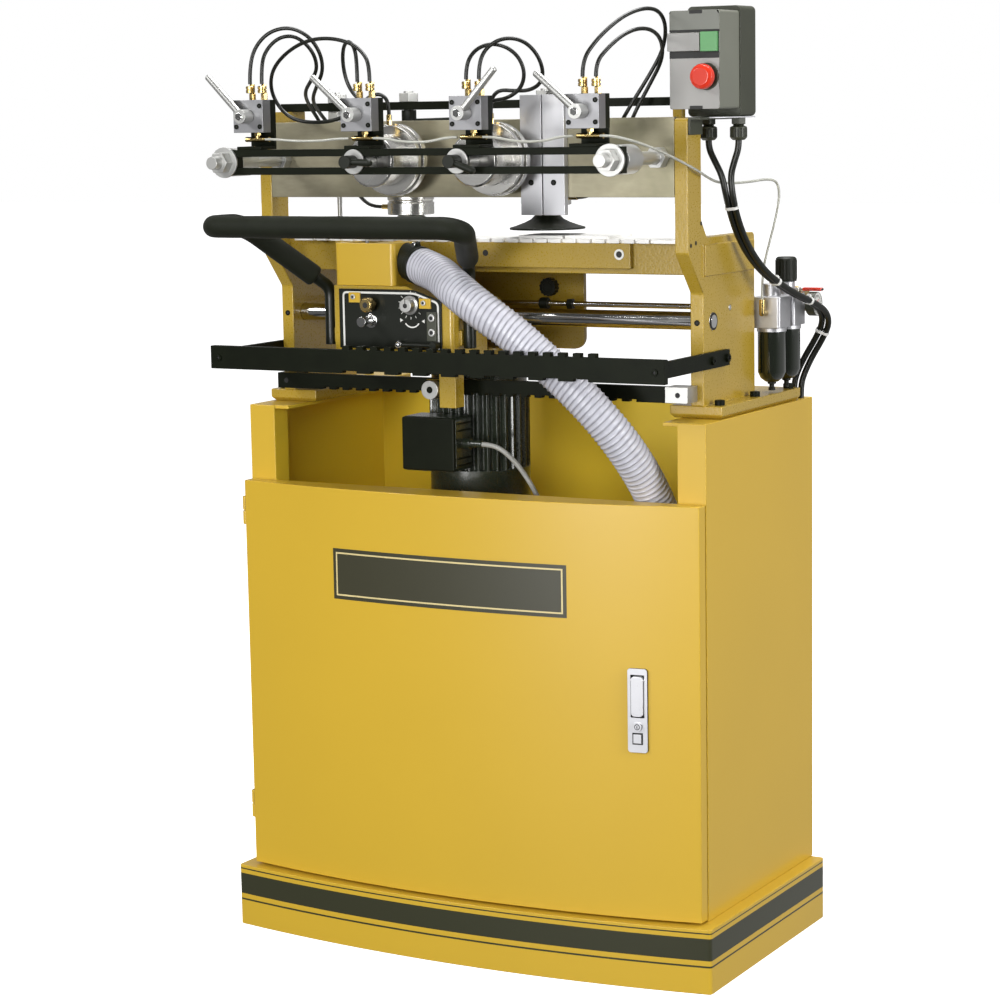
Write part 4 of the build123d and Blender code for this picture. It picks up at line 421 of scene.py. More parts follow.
# cords: each is a smooth spline with its route's points as control points
valveAt = (-292.5, -95, 96.5, 292.5)
stemY, stemTop = -325, 1402
frontPort = {"y": -273, "top": 1336}
rearPort = {"y": -243.5, "top": 1351}
clampX = (-100, 82)
downY, highPort, lowPort = -98, 1282, 1218
leftHigh, leftLow = 1266.3, 1202.3
leftPort, rightPort = -204, 154
hoseDiameter, lineDiameter, cableDiameter, leadDiameter = 6.0, 4.0, 10.0, 8.0
airHoses = [
    {"length": 0.495, "points": [
        (-303.5, stemY, stemTop), (-303.5, stemY, stemTop + 24), (-300, -316, 1458), (-280, -304, 1483),
        (-250, -290, 1490), (-224, -276, 1476), (-212, -262, 1450), (-216, -248, 1422), (-238, -234, 1398),
        (-264, -208, 1378), (-279, -172, 1362), (-277, -136, 1334), (-262, -114, 1296), (-238, -102, 1273),
        (leftPort - 16, downY, leftHigh), (leftPort, downY, leftHigh)]},
    {"length": 0.520, "points": [
        (-281.5, stemY, stemTop), (-281.5, stemY, stemTop + 22), (-283, -314, 1450), (-267, -302, 1472),
        (-247, -289, 1477), (-231, -277, 1466), (-222, -263, 1446), (-226, -250, 1424), (-246, -236, 1408),
        (-276, -211, 1390), (-295, -174, 1372), (-294, -136, 1338), (-283, -120, 1290), (-264, -107, 1245),
        (-240, -100, 1213), (leftPort - 18, downY, leftLow), (leftPort, downY, leftLow)]},
    {"length": 0.269, "points": [
        (-106, stemY, stemTop), (-106, stemY, stemTop + 24), (-116, -313, 1452), (-136, -298, 1466),
        (-155, -284, 1459), (-166, -271, 1434), (-165, -262, 1402), (-148, -262, 1378), (-124, -267, 1370),
        (-106, frontPort["y"], 1367), (clampX[0], frontPort["y"], frontPort["top"] + 15),
        (clampX[0], frontPort["y"], frontPort["top"])]},
    {"length": 0.597, "points": [
        (-84, stemY, stemTop), (-84, stemY, stemTop + 20), (-94, -319, 1442), (-122, -311, 1461),
        (-170, -301, 1471), (-220, -290, 1468), (-266, -279, 1450), (-303, -263, 1424), (-320, -243, 1394),
        (-314, -230, 1366), (-288, -230, 1346), (-246, -235, 1340), (-204, -238, 1343), (-174, -241, 1354),
        (-151, -242, 1369), (-135, -243, 1380), (-118, rearPort["y"], 1384), (-105, rearPort["y"], 1378),
        (clampX[0], rearPort["y"], rearPort["top"] + 13), (clampX[0], rearPort["y"], rearPort["top"])]},
    {"length": 0.262, "points": [
        (85.5, stemY, stemTop), (85.5, stemY, stemTop + 22), (94, -312, 1446), (113, -299, 1455),
        (135, -289, 1450), (151, -278, 1434), (157, -271, 1410), (147, -266, 1387), (124, -266, 1373),
        (100, -270, 1370), (86, frontPort["y"], 1364), (clampX[1], frontPort["y"], frontPort["top"] + 14),
        (clampX[1], frontPort["y"], frontPort["top"])]},
    {"length": 0.301, "points": [
        (107.5, stemY, stemTop), (107.5, stemY, stemTop + 24), (116, -314, 1450), (138, -301, 1463),
        (162, -287, 1459), (178, -273, 1440), (182, -259, 1414), (172, -249, 1394), (150, -245, 1384),
        (124, -244, 1384), (100, rearPort["y"], 1386), (87, rearPort["y"], 1379),
        (clampX[1], rearPort["y"], rearPort["top"] + 14), (clampX[1], rearPort["y"], rearPort["top"])]},
    {"length": 0.533, "points": [
        (281.5, stemY, stemTop), (281.5, stemY, stemTop + 24), (294, -306, 1454), (308, -278, 1478),
        (321, -248, 1495), (333, -212, 1503), (337, -176, 1498), (332, -144, 1476), (318, -126, 1442),
        (295, -128, 1404), (270, -139, 1362), (244, -134, 1326), (212, -116, 1300),
        (rightPort + 26, downY - 3, highPort + 3), (rightPort + 14, downY, highPort),
        (rightPort, downY, highPort)]},
    {"length": 0.522, "points": [
        (303.5, stemY, stemTop), (303.5, stemY, stemTop + 20), (314, -307, 1443), (325, -280, 1462),
        (334, -248, 1472), (339, -210, 1471), (337, -172, 1457), (326, -144, 1428), (301, -142, 1388),
        (276, -149, 1342), (255, -138, 1300), (228, -121, 1262), (198, -105, 1234),
        (rightPort + 18, downY, lowPort), (rightPort, downY, lowPort)]},
]
teeHalf, teeY, teeZ = 22, -336, 1316.25
sagShares = ((0.0, 0.0), (0.12, 0.0), (0.35, 0.9), (0.65, 1.0), (0.88, 0.0), (1.0, 0.0))
clearLines = []
for first, second, sag, run in zip(valveAt, valveAt[1:], (3.5, 7.0, 8.0), (0.154, 0.149, 0.153)):
    start, end = first + teeHalf, second - teeHalf
    points = [(start + (end - start) * share, teeY, teeZ - sag * drop) for share, drop in sagShares]
    clearLines.append({"length": run, "points": points})
clearLines.append({"length": 0.658, "points": [
    (314.5, teeY, teeZ), (332.5, teeY, teeZ), (352, -310, 1309), (364, -268, 1298), (382, -222, 1280),
    (393, -172, 1262), (391, -124, 1248), (385, -78, 1240), (388, -28, 1237), (397, 22, 1238),
    (406, 68, 1241), (410, 97, 1236), (411, 104, 1212), (407, 93, 1172), (402, 77, 1132), (398, 62, 1091),
    (398, 62, 1051)]})
switchCables = [
    {"length": 0.599, "points": [
        (368, -72, 1304), (368, -72, 1292), (379, -75, 1273), (393, -78, 1250), (398, -76, 1222),
        (399, -60, 1188), (401, -36, 1154), (406, -6, 1122), (414, 30, 1094), (424, 72, 1072),
        (435, 116, 1054), (442, 156, 1041), (445, 188, 1027), (443, 206, 1006), (428, 214, 980),
        (408, 214, 948), (395, 208, 918), (392, 206, 898), (392, 206, 880)]},
    {"length": 0.594, "points": [
        (418, -72, 1304), (418, -72, 1292), (412, -74, 1273), (405, -74, 1250), (408, -73, 1219),
        (409, -57, 1185), (411, -33, 1151), (416, -3, 1119), (424, 33, 1091), (434, 75, 1069),
        (445, 119, 1051), (452, 159, 1038), (455, 191, 1024), (453, 209, 1003), (438, 217, 977),
        (418, 217, 945), (406, 211, 915), (403, 209, 898), (403, 209, 880)]},
]


cordMesh = {"steps": 10, "roundness": 4}


def routeCurve(name, points, diameter):
    data = bpy.data.curves.new(name, "CURVE")
    data.dimensions = "3D"
    spline = data.splines.new("NURBS")
    spline.points.add(len(points) - 1)
    for spot, point in zip(spline.points, points):
        spot.co = (*(Vector(point) * mm), 1)
    spline.order_u = 3
    spline.use_endpoint_u = True
    spline.resolution_u = cordMesh["steps"]
    data.bevel_depth = diameter / 2 * mm
    data.bevel_resolution = cordMesh["roundness"]
    data.use_fill_caps = True
    return addObject(name, data)


def linePoints(points):
    guide = routeCurve("guide", points, 0)
    mesh = bpy.data.meshes.new_from_object(guide)
    found = [v.co.copy() for v in mesh.vertices]
    bpy.data.meshes.remove(mesh)
    bpy.data.objects.remove(guide)
    return found


def addCords(stem, node, cords, diameter, finish):
    for index, cord in enumerate(cords):
        piece = routeCurve(f"{stem}{index + 1}", cord["points"], diameter)
        piece.data.materials.append(finishes[finish])
        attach(piece, "frame")
        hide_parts(node)


addCords("airHose", "air_hoses", airHoses, hoseDiameter, "hoseRubber")
addCords("clearLine", "air_line", clearLines, lineDiameter, "clearPlastic")
addCords("switchCable", "switch_cable", switchCables, cableDiameter, "hoseRubber")
print("cords on the frame:", len(airHoses) + len(clearLines) + len(switchCables))

# tubes that cross the carriage's joints are meshes, in two lengths that meet on the saddle
lastStepShare = 0.3


def evenPoints(points, step):
    dense = linePoints(points)
    found = [dense[0]]
    wanted = step
    for a, b in zip(dense, dense[1:]):
        run = (b - a).length
        at = 0.0
        while run - at >= wanted:
            at += wanted
            found.append(a.lerp(b, at / run))
            wanted = step
        wanted -= run - at
    if (found[-1] - dense[-1]).length > step * lastStepShare:
        found.append(dense[-1])
    else:
        found[-1] = dense[-1]
    return found


def ringPlaces(path):
    # one frame per point, carried along without twist
    places = []
    side = None
    for i, point in enumerate(path):
        along = (path[min(i + 1, len(path) - 1)] - path[max(i - 1, 0)]).normalized()
        side = along.orthogonal() if side is None else side - along * side.dot(along)
        side.normalize()
        place = Matrix((side, along.cross(side), along)).transposed().to_4x4()
        place.translation = point
        places.append(place)
    return places


def tubeMesh(name, path, sides, shapeAt, first, last):
    places = ringPlaces(path)
    bm = bmesh.new()
    ridge = bm.verts.layers.float.new("ridge")
    bmesh.ops.create_circle(bm, segments=sides, radius=mm, matrix=places[first])
    ring, rim = bm.verts[:], bm.edges[:]
    for i in range(first, last + 1):
        if i > first:
            grown = bmesh.ops.extrude_edge_only(bm, edges=rim)["geom"]
            ring = [g for g in grown if isinstance(g, bmesh.types.BMVert)]
            rim = [g for g in grown if isinstance(g, bmesh.types.BMEdge) and g.is_boundary]
        before = places[max(i - 1, first)].inverted()
        for spot in ring:
            local = before @ spot.co
            angle = math.atan2(local.y, local.x)
            radius, lift = shapeAt(i, angle / (2 * math.pi))
            spot.co = places[i] @ Vector((math.cos(angle) * radius, math.sin(angle) * radius, 0))
            spot[ridge] = lift
    bmesh.ops.recalc_face_normals(bm, faces=bm.faces)
    mesh = asMesh(bm, name)
    mesh.shade_smooth()
    return addObject(name, mesh)


dustHose = {
    "crest": 30.0, "root": 28.2, "pitch": 8.4, "steps": 8, "sides": 36, "cuff": 14.0, "half": 1.6,
    "joinAt": (30, -263, 1079.5), "fixedAt": (309, -160, 767),
    "points": [
        (-84, -198, 1116), (-33.5, -216.8, 1105.1), (11, -253, 1088), (52, -274, 1068), (93, -281, 1044),
        (128, -275, 1020), (181, -263, 973), (230, -252, 927), (271, -234, 877), (296, -201, 824),
        (309, -160, 767), (318, -126, 703), (322, -90, 650), (319, -46, 614), (314, 12, 594),
        (312, 100, 585), (312, 228, 585)],
}
motorLead = {
    "sides": 14, "step": 6.0, "joinAt": (74, -144, 785), "fixedAt": (103, 18, 600),
    "points": [
        (9, -159, 828), (23, -159, 828), (40, -157, 823), (58, -151, 807), (74, -144, 785), (89, -137, 758),
        (100, -126, 724), (105, -106, 688), (107, -75, 652), (106, -32, 620), (103, 18, 600), (101, 76, 590),
        (100, 146, 585), (100, 222, 585)],
}


def ridingTube(stem, node, look, path, finish, shapeAt):
    joint = min(range(len(path)), key=lambda i: (path[i] - Vector(look["joinAt"]) * mm).length)
    swinging = tubeMesh(stem + "Swinging", path, look["sides"], shapeAt, 0, joint)
    sliding = tubeMesh(stem + "Sliding", path, look["sides"], shapeAt, joint, len(path) - 1)
    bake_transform(swinging)
    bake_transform(sliding)
    for piece in (swinging, sliding):
        piece.data.materials.append(finishes[finish])
        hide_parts(node)


hoseStep = dustHose["pitch"] / dustHose["steps"]
hosePath = evenPoints(dustHose["points"], hoseStep * mm)
leadPath = evenPoints(motorLead["points"], motorLead["step"] * mm)


def hoseShape(i, turn):
    run = i * hoseStep
    end = min(run, (len(hosePath) - 1 - i) * hoseStep)
    phase = (run / dustHose["pitch"] - turn) % 1
    away = min(phase, 1 - phase) * dustHose["pitch"] / dustHose["half"]
    lift = max(0.0, 1 - away * away) if end > dustHose["cuff"] else 0.0
    return (dustHose["root"] + (dustHose["crest"] - dustHose["root"]) * lift) * mm, lift


def leadShape(i, turn):
    return leadDiameter / 2 * mm, 0.0


ridingTube("dustHose", "dust_hose", dustHose, hosePath, "hosePlastic", hoseShape)
ridingTube("motorLead", "motor_cable", motorLead, leadPath, "greySheath", leadShape)
print("dust hose and motor lead made")

# foam sleeve on the handle: a bent bar with rounded ends, and a slight wobble along it
gripShape = {
    "radius": 17.5, "inset": 0.25, "bends": (60, 24, 24), "arcSteps": 12, "ringGap": 12.0, "sides": 28,
    "roundEnd": 5.0, "roundSteps": 4, "slowWave": (41, 0.10), "quickWave": (97, 0.08), "waveTurn": 12.566,
    "corners": [
        (-257, -222, 1094.6), (-340, -305, 1183), (-340, -400, 1183), (118, -400, 1183),
        (33.34, -238.15, 1129.05)],
}


def sleeveLine(corners, bends, arcSteps):
    found = [Vector(corners[0])]
    for a, b, c, bend in zip(corners, corners[1:], corners[2:], bends):
        a, b, c = Vector(a), Vector(b), Vector(c)
        into, out = (b - a).normalized(), (c - b).normalized()
        half = into.angle(out) / 2
        reach = bend * math.tan(half)
        middle = b + (out - into).normalized() * (bend / math.cos(half))
        start = b - into * reach - middle
        turnAxis = into.cross(out).normalized()
        for i in range(arcSteps + 1):
            found.append(middle + Matrix.Rotation(2 * half * i / arcSteps, 3, turnAxis) @ start)
    found.append(Vector(corners[-1]))
    return [p * mm for p in found]


def bevelEdges(bm, edges, width, segments=2):
    bmesh.ops.bevel(
        bm, geom=edges, offset=width * mm, segments=segments, profile=0.5, affect="EDGES", material=-1)


def foamSleeve(look):
    line = sleeveLine(look["corners"], look["bends"], look["arcSteps"])
    dense = [line[0]]
    for a, b in zip(line, line[1:]):
        count = max(1, round((b - a).length / (look["ringGap"] * mm)))
        dense += [a.lerp(b, (i + 1) / count) for i in range(count)]
    runs = [0.0]
    for a, b in zip(dense, dense[1:]):
        runs.append(runs[-1] + (b - a).length)
    slow, slowHeight = look["slowWave"]
    quick, quickHeight = look["quickWave"]

    def shapeAt(i, turn):
        wobble = math.sin(runs[i] * slow) * slowHeight
        wobble += math.sin(runs[i] * quick + turn * look["waveTurn"]) * quickHeight
        return (look["radius"] - look["inset"] + wobble) * mm, 0.0

    piece = tubeMesh("handleFoam", dense, look["sides"], shapeAt, 0, len(dense) - 1)
    bm = bmesh.new()
    bm.from_mesh(piece.data)
    rims = bmesh.ops.holes_fill(bm, edges=[e for e in bm.edges if e.is_boundary])["faces"]
    bevelEdges(bm, list({e for face in rims for e in face.edges}), look["roundEnd"], look["roundSteps"])
    bmesh.ops.recalc_face_normals(bm, faces=bm.faces)
    bm.to_mesh(piece.data)
    bm.free()
    piece.data.shade_smooth()
    piece.data.materials.append(finishes["foamRubber"])
    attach(piece, "carriage")
    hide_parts("handle_grip")


foamSleeve(gripShape)
print("handle foam made")

# fitting shapes: each stands on z = 0
poleGap = 0.001
markEdge = 0.1


def outwardMesh(bm):
    bmesh.ops.recalc_face_normals(bm, faces=bm.faces)
    return asMesh(bm)


def turnedShape(profile, steps=28, angle=360.0):
    bm = bmesh.new()
    spots = [bm.verts.new((r * mm, 0, z * mm)) for r, z in profile]
    edges = [bm.edges.new(pair) for pair in zip(spots, spots[1:])]
    bmesh.ops.spin(bm, geom=spots + edges, axis=upward, cent=(0, 0, 0), angle=math.radians(angle),
                   steps=steps, use_merge=angle == 360.0)
    bmesh.ops.remove_doubles(bm, verts=bm.verts, dist=poleGap * mm)
    return outwardMesh(bm)


def discShape(radius, height, edge=0.3):
    return turnedShape([(radius, 0), (radius, height - edge), (radius - edge, height), (0, height)])


def ringShape(inner, outer, height, edge=0.3):
    return turnedShape([
        (inner, 0), (inner, height - edge), (inner + edge, height), (outer - edge, height),
        (outer, height - edge), (outer, 0), (inner, 0)])


def barShape(size, edge=0.4):
    bm = bmesh.new()
    bmesh.ops.create_cube(bm, size=1)
    bmesh.ops.scale(bm, vec=[s * mm for s in size], verts=bm.verts)
    bmesh.ops.translate(bm, vec=(0, 0, size[2] / 2 * mm), verts=bm.verts)
    bevelEdges(bm, bm.edges[:], edge)
    return outwardMesh(bm)


def roundBar(sides, radius, height):
    bm = bmesh.new()
    bmesh.ops.create_cone(
        bm, cap_ends=True, segments=sides, radius1=radius * mm, radius2=radius * mm, depth=height * mm)
    bmesh.ops.translate(bm, vec=(0, 0, height / 2 * mm), verts=bm.verts)
    return bm


def topFace(bm):
    return max(bm.faces, key=lambda face: face.calc_center_median().z)


def prismShape(sides, radius, height, edge=0.5):
    bm = roundBar(sides, radius, height)
    bevelEdges(bm, topFace(bm).edges[:], edge)
    return outwardMesh(bm)


def ribbedShape(radius, height, ribs, depth, edge=0.5):
    # each rib takes four points of the rim, two of them cut in by depth
    perRib = 4
    bm = roundBar(ribs * perRib, radius, height)
    for spot in bm.verts:
        step = round(math.atan2(spot.co.y, spot.co.x) / (2 * math.pi) * ribs * perRib) % perRib
        if step in (0, 1):
            spot.co.x *= 1 - depth / radius
            spot.co.y *= 1 - depth / radius
    bevelEdges(bm, topFace(bm).edges[:], edge)
    return outwardMesh(bm)


screwShape = {"sides": 24, "edge": 0.1, "flats": 0.9, "wellDepth": 0.55}


def socketScrew(radius, height, socket):
    # the hexagon well takes the finish that comes after the screw's own, near-black wherever it is used:
    # painted shade inside the socket
    edge = screwShape["edge"]
    bm = roundBar(screwShape["sides"], radius, height)
    bevelEdges(bm, topFace(bm).edges[:], radius * edge)
    top = topFace(bm)
    bmesh.ops.inset_region(bm, faces=[top], thickness=(radius * (1 - edge) - socket) * mm)
    for spot in top.verts:
        angle = math.atan2(spot.co.y, spot.co.x)
        reach = socket * screwShape["flats"] / math.cos(angle % (math.pi / 3) - math.pi / 6) * mm
        spot.co.x, spot.co.y = math.cos(angle) * reach, math.sin(angle) * reach
    well = bmesh.ops.extrude_discrete_faces(bm, faces=[top])["faces"][0]
    bmesh.ops.translate(bm, vec=(0, 0, -height * screwShape["wellDepth"] * mm), verts=well.verts[:])
    well.material_index = 1
    for rim in well.edges:
        for face in rim.link_faces:
            face.material_index = 1
    return asMesh(bm)


def outlineBand(corners, corner, width, height, cut, steps=5):
    # a flat band inside an outline with rounded corners, kept only above the cut
    bm = bmesh.new()
    bm.faces.new([bm.verts.new((x * mm, y * mm, 0)) for x, y in corners])
    bmesh.ops.bevel(
        bm, geom=bm.verts[:], offset=corner * mm, segments=steps, profile=0.5, affect="VERTICES", material=-1)
    face = bm.faces[:][0]
    bmesh.ops.inset_region(bm, faces=[face], thickness=width * mm, use_boundary=True, use_even_offset=True)
    bmesh.ops.delete(bm, geom=[face], context="FACES")
    bmesh.ops.recalc_face_normals(bm, faces=bm.faces)
    bmesh.ops.solidify(bm, geom=bm.faces[:], thickness=height * mm)
    everything = bm.verts[:] + bm.edges[:] + bm.faces[:]
    bmesh.ops.bisect_plane(
        bm, geom=everything, plane_co=(0, cut * mm, 0), plane_no=(0, -1, 0), clear_outer=True)
    low = min(spot.co.z for spot in bm.verts)
    bmesh.ops.translate(bm, vec=(0, 0, -low), verts=bm.verts)
    return outwardMesh(bm)


def ovalBand(half, stretch, band, wall, sides=32):
    # a strap round two cables that lie side by side
    bm = bmesh.new()
    bmesh.ops.create_circle(bm, segments=sides, radius=half * mm)
    for spot in bm.verts:
        spot.co.x += stretch * mm if spot.co.x > 0 else -stretch * mm
    grown = bmesh.ops.extrude_edge_only(bm, edges=bm.edges[:])["geom"]
    upper = [g for g in grown if isinstance(g, bmesh.types.BMVert)]
    bmesh.ops.translate(bm, vec=(0, 0, band * mm), verts=upper)
    bmesh.ops.recalc_face_normals(bm, faces=bm.faces)
    bmesh.ops.solidify(bm, geom=bm.faces[:], thickness=-wall * mm)
    return outwardMesh(bm)


# a piece of fittings: its rows say which shape stands where, which way up and in which of its finishes
def stampAt(bm, shape, matrix, finish=0):
    spots, faces = len(bm.verts), len(bm.faces)
    bm.from_mesh(shape)
    bmesh.ops.transform(bm, matrix=matrix, verts=bm.verts[:][spots:])
    for face in bm.faces[:][faces:]:
        face.material_index += finish


def stamp(bm, shape, place, up=upward, finish=0, turn=0.0):
    tilt = Vector(upward).rotation_difference(Vector(up)).to_matrix().to_4x4()
    if up == down:
        tilt = Matrix.Rotation(math.pi, 4, "X")
    spin = Matrix.Rotation(math.radians(turn), 4, "Z")
    stampAt(bm, shape, Matrix.Translation(Vector(place) * mm) @ tilt @ spin, finish)


def makePiece(name, bm, look):
    mesh = asMesh(bm, name)
    for finish in look["finishes"]:
        mesh.materials.append(finishes[finish])
    smoothShade(mesh)
    piece = addObject(name, mesh)
    flat = piece.modifiers.new("flatFaces", "WEIGHTED_NORMAL")
    flat.keep_sharp = True
    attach(piece, nodes[look["slot"]]["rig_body"])


def addFittings(name, look, placed=()):
    bm = bmesh.new()
    for shape, matrix in placed:
        stampAt(bm, shape, matrix)
    for row in look.get("rows", ()):
        finish = look["finishes"].index(row["finish"]) if "finish" in row else 0
        for place in row["at"]:
            stamp(bm, row["shape"], place, row.get("up", upward), finish, row.get("turn", 0.0))
    makePiece(name, bm, look)


def mirrored(x, y, z):
    return [(-x, y, z), (x, y, z)]


def onDial(centre, facing, angle, reach):
    # a mark's place on a dial, out from the centre by reach
    turned = Matrix.Rotation(math.radians(90), 4, facing) @ Matrix.Rotation(math.radians(angle), 4, "Z")
    return Matrix.Translation(Vector(centre) * mm) @ turned @ Matrix.Translation((0, reach * mm, 0))


# faces of a copy that carry another finish
panelFront = -235
limits = {
    "innerFacing": -100, "bracketTop": 1357.9, "valvePlateBack": -328.2, "valvePlateFoot": 1326,
    "flapFoot": 1467, "frontFacing": -0.7, "endBlock": 335.2, "portCuff": -105.5, "gaugeBack": 431,
    "dial": (434.2, 434.8), "gaugeRim": 435, "dialFacing": 0.9, "shadedRecess": -3.4, "sideFacing": 0.7,
}
studs = {
    "brassKnob": {"x": -144, "z": 1054, "reach": 13, "back": panelFront - 0.3},
    "plunger": {"x": -146, "z": 1028, "reach": 12, "back": panelFront - 0.3},
    "stopRing": {"x": 410, "z": 1400, "reach": 21, "back": -170.4},
    "rollerStud": {"x": -41.5, "z": 921, "reach": 9, "back": -221},
}
latch = {
    "at": (316, -231.52, 438), "turn": 8.86, "key": {"out": 7, "drop": 25},
    "button": {"out": 4.1, "drop": 44},
}
latchAt, latchTurn = Vector(latch["at"]), math.radians(latch["turn"])
latchIn = Vector((-math.sin(latchTurn), math.cos(latchTurn), 0))


def paint(node, finish, test):
    mesh = made[node].data
    mesh.materials.append(finishes[finish])
    index = len(mesh.materials) - 1
    for face in mesh.polygons:
        if test(face.center / mm, face.normal):
            face.material_index = index


def paintStud(node, finish, stud):
    def onStud(p, n):
        return max(abs(p.x - stud["x"]), abs(p.z - stud["z"])) < stud["reach"] and p.y < stud["back"]

    paint(node, finish, onStud)


dialBack, dialFront = limits["dial"]
# painted light: the cabinet's inward-facing faces take the lighter inner copy of the gold enamel
paint("cabinet", "litInnerEnamel", lambda p, n: p.x * n.x + p.y * n.y < limits["innerFacing"])
paintStud("belt_panel", "turnedBrass", studs["brassKnob"])
paintStud("belt_panel", "chromePlate", studs["plunger"])
paint("top_rail", "hammeredEnamel", lambda p, n: p.z < limits["bracketTop"])
paint("valve_bodies", "plateSteel",
      lambda p, n: p.y < limits["valvePlateBack"] and p.z > limits["valvePlateFoot"])
paint("switch_cover", "midPlastic", lambda p, n: n.y < limits["frontFacing"] and p.z > limits["flapFoot"])
paint("switch_cover", "sidePlastic", lambda p, n: n.y > limits["frontFacing"])
paintStud("switch_cover", "darkPlastic", studs["stopRing"])
# painted shade: the housing's recessed faces and its right side are painted near-black
paint("latch_housing", "deepBlack",
      lambda p, n: (p - latchAt).dot(latchIn) > limits["shadedRecess"] or n.x > limits["sideFacing"])
paint("lower_template", "satinSteel", lambda p, n: p.x > limits["endBlock"])
paintStud("carriage", "blackOxide", studs["rollerStud"])
paint("hood", "moulded", lambda p, n: p.x > limits["portCuff"])
paint("pressure_gauge", "chromePlate",
      lambda p, n: limits["gaugeBack"] < p.x < dialBack or p.x > limits["gaugeRim"])
paint("pressure_gauge", "whitePaint", lambda p, n: dialBack < p.x < dialFront and n.x > limits["dialFacing"])

# bolts, screws and tapped holes on the fixed frame; the tapped holes are flat near-black discs, painted shade
armScrew = socketScrew(6.5, 4, 3.2)
frameBolts = {
    "slot": "uprights", "finishes": ["blackOxide", "deepBlack"],
    "rows": [
        {"shape": socketScrew(8, 8, 4),
         "at": [place for y in (-105, 30, 165) for place in mirrored(399, y, 900)]},
        {"shape": armScrew, "at": [(-392, -115, 969), (-392, -60, 969)], "up": left},
        {"shape": armScrew, "at": [(392, -115, 969), (392, -60, 969)], "up": right},
        {"shape": socketScrew(5, 3, 2.5), "at": mirrored(388, -312, 969), "up": front},
        {"shape": socketScrew(4.5, 1.2, 2.4), "up": front,
         "at": mirrored(373, -130, 1028) + [(124.5, -196, 1244), (163.5, -196, 1244)]},
        {"shape": discShape(4.2, 0.4, 0.2), "at": mirrored(356, -166, 919.5), "up": front,
         "finish": "deepBlack"},
        {"shape": discShape(3.4, 0.3, 0.1), "at": [(384, -174, 1148), (384, -156, 1151), (384, -137, 1180)],
         "up": right, "finish": "deepBlack"},
        {"shape": discShape(5, 0.4, 0.2), "at": mirrored(13, -145, 1132), "up": front, "finish": "deepBlack"},
    ],
}
addFittings("frameBolts", frameBolts)

# pale-rimmed screws on the apron, and the guide rods' end caps
capRing, capDisc = ringShape(10, 13.5, 1.2), discShape(10.4, 1.8, 0.6)
rodCaps = {
    "slot": "guide_rods", "finishes": ["whitePaint", "deepBlack", "chromePlate"],
    "rows": [
        {"shape": ringShape(5, 8.4, 1.2), "at": mirrored(249, -145, 1132), "up": front},
        # painted shade: a flat near-black disc stands for each apron screw's socket
        {"shape": discShape(5.2, 0.5, 0.2), "at": mirrored(249, -145, 1132), "up": front,
         "finish": "deepBlack"},
        {"shape": capRing, "at": [(-384, -94, 1028)], "up": left, "finish": "deepBlack"},
        {"shape": capDisc, "at": [(-384, -94, 1028)], "up": left, "finish": "chromePlate"},
        {"shape": capRing, "at": [(384, -94, 1028)], "up": right, "finish": "deepBlack"},
        {"shape": capDisc, "at": [(384, -94, 1028)], "up": right, "finish": "chromePlate"},
    ],
}
addFittings("rodCaps", rodCaps)

# hand knob on the hanger, and the stop rod's collar and nut
stopCollar = turnedShape([(4.6, 0), (8.5, 0), (9.5, 1), (9.5, 13), (8.5, 14), (4.6, 14)])
stopFittings = {
    "slot": "table", "finishes": ["moulded"],
    "rows": [
        {"shape": ribbedShape(15, 14, 14, 1.2), "at": [(40, 25, 1068)], "up": front},
        {"shape": discShape(9, 16, 1.0), "at": [(40, 25, 1068)], "up": front},
        {"shape": stopCollar, "at": [(50, -30, 1045)], "up": right},
        {"shape": prismShape(6, 9, 9), "at": [(100, -30, 1045)], "up": right},
    ],
}
addFittings("stopFittings", stopFittings)

# valves: corner screws on the plates, brass collars under the hoses, nuts on the levers
valve = {
    "plateFront": -350, "leverFront": -374, "middle": 1352.25, "screwX": (-22, 22), "screwZ": (-16, 16),
    "stemX": (-11, 11), "collarFoot": 1388,
}
hoseCollar = turnedShape([
    (3.2, 0), (5.6, 0), (6.8, 0.8), (6.8, 4.6), (6.0, 5.2), (6.0, 6.2), (6.8, 6.8), (6.8, 10.2), (5.8, 11),
    (3.2, 11)])
valveFittings = {
    "slot": "valve_bodies", "finishes": ["blackOxide", "deepBlack", "turnedBrass"],
    "rows": [
        {"shape": socketScrew(3.7, 1.8, 1.9), "up": front,
         "at": [(x + dx, valve["plateFront"], valve["middle"] + dz)
                for x in valveAt for dx in valve["screwX"] for dz in valve["screwZ"]]},
        {"shape": hoseCollar,
         "at": [(x + dx, stemY, valve["collarFoot"]) for x in valveAt for dx in valve["stemX"]],
         "finish": "turnedBrass"},
    ],
}
addFittings("valveFittings", valveFittings)
for number, x in enumerate(valveAt, 1):
    nutAt = [(x, valve["leverFront"], valve["middle"])]
    leverNut = {
        "slot": f"valve_lever_{number}", "finishes": ["chromePlate"],
        "rows": [
            {"shape": prismShape(6, 6.4, 3), "at": nutAt, "up": front},
            {"shape": discShape(3, 4, 0.6), "at": nutAt, "up": front},
        ],
    }
    addFittings(f"leverNut{number}", leverNut)

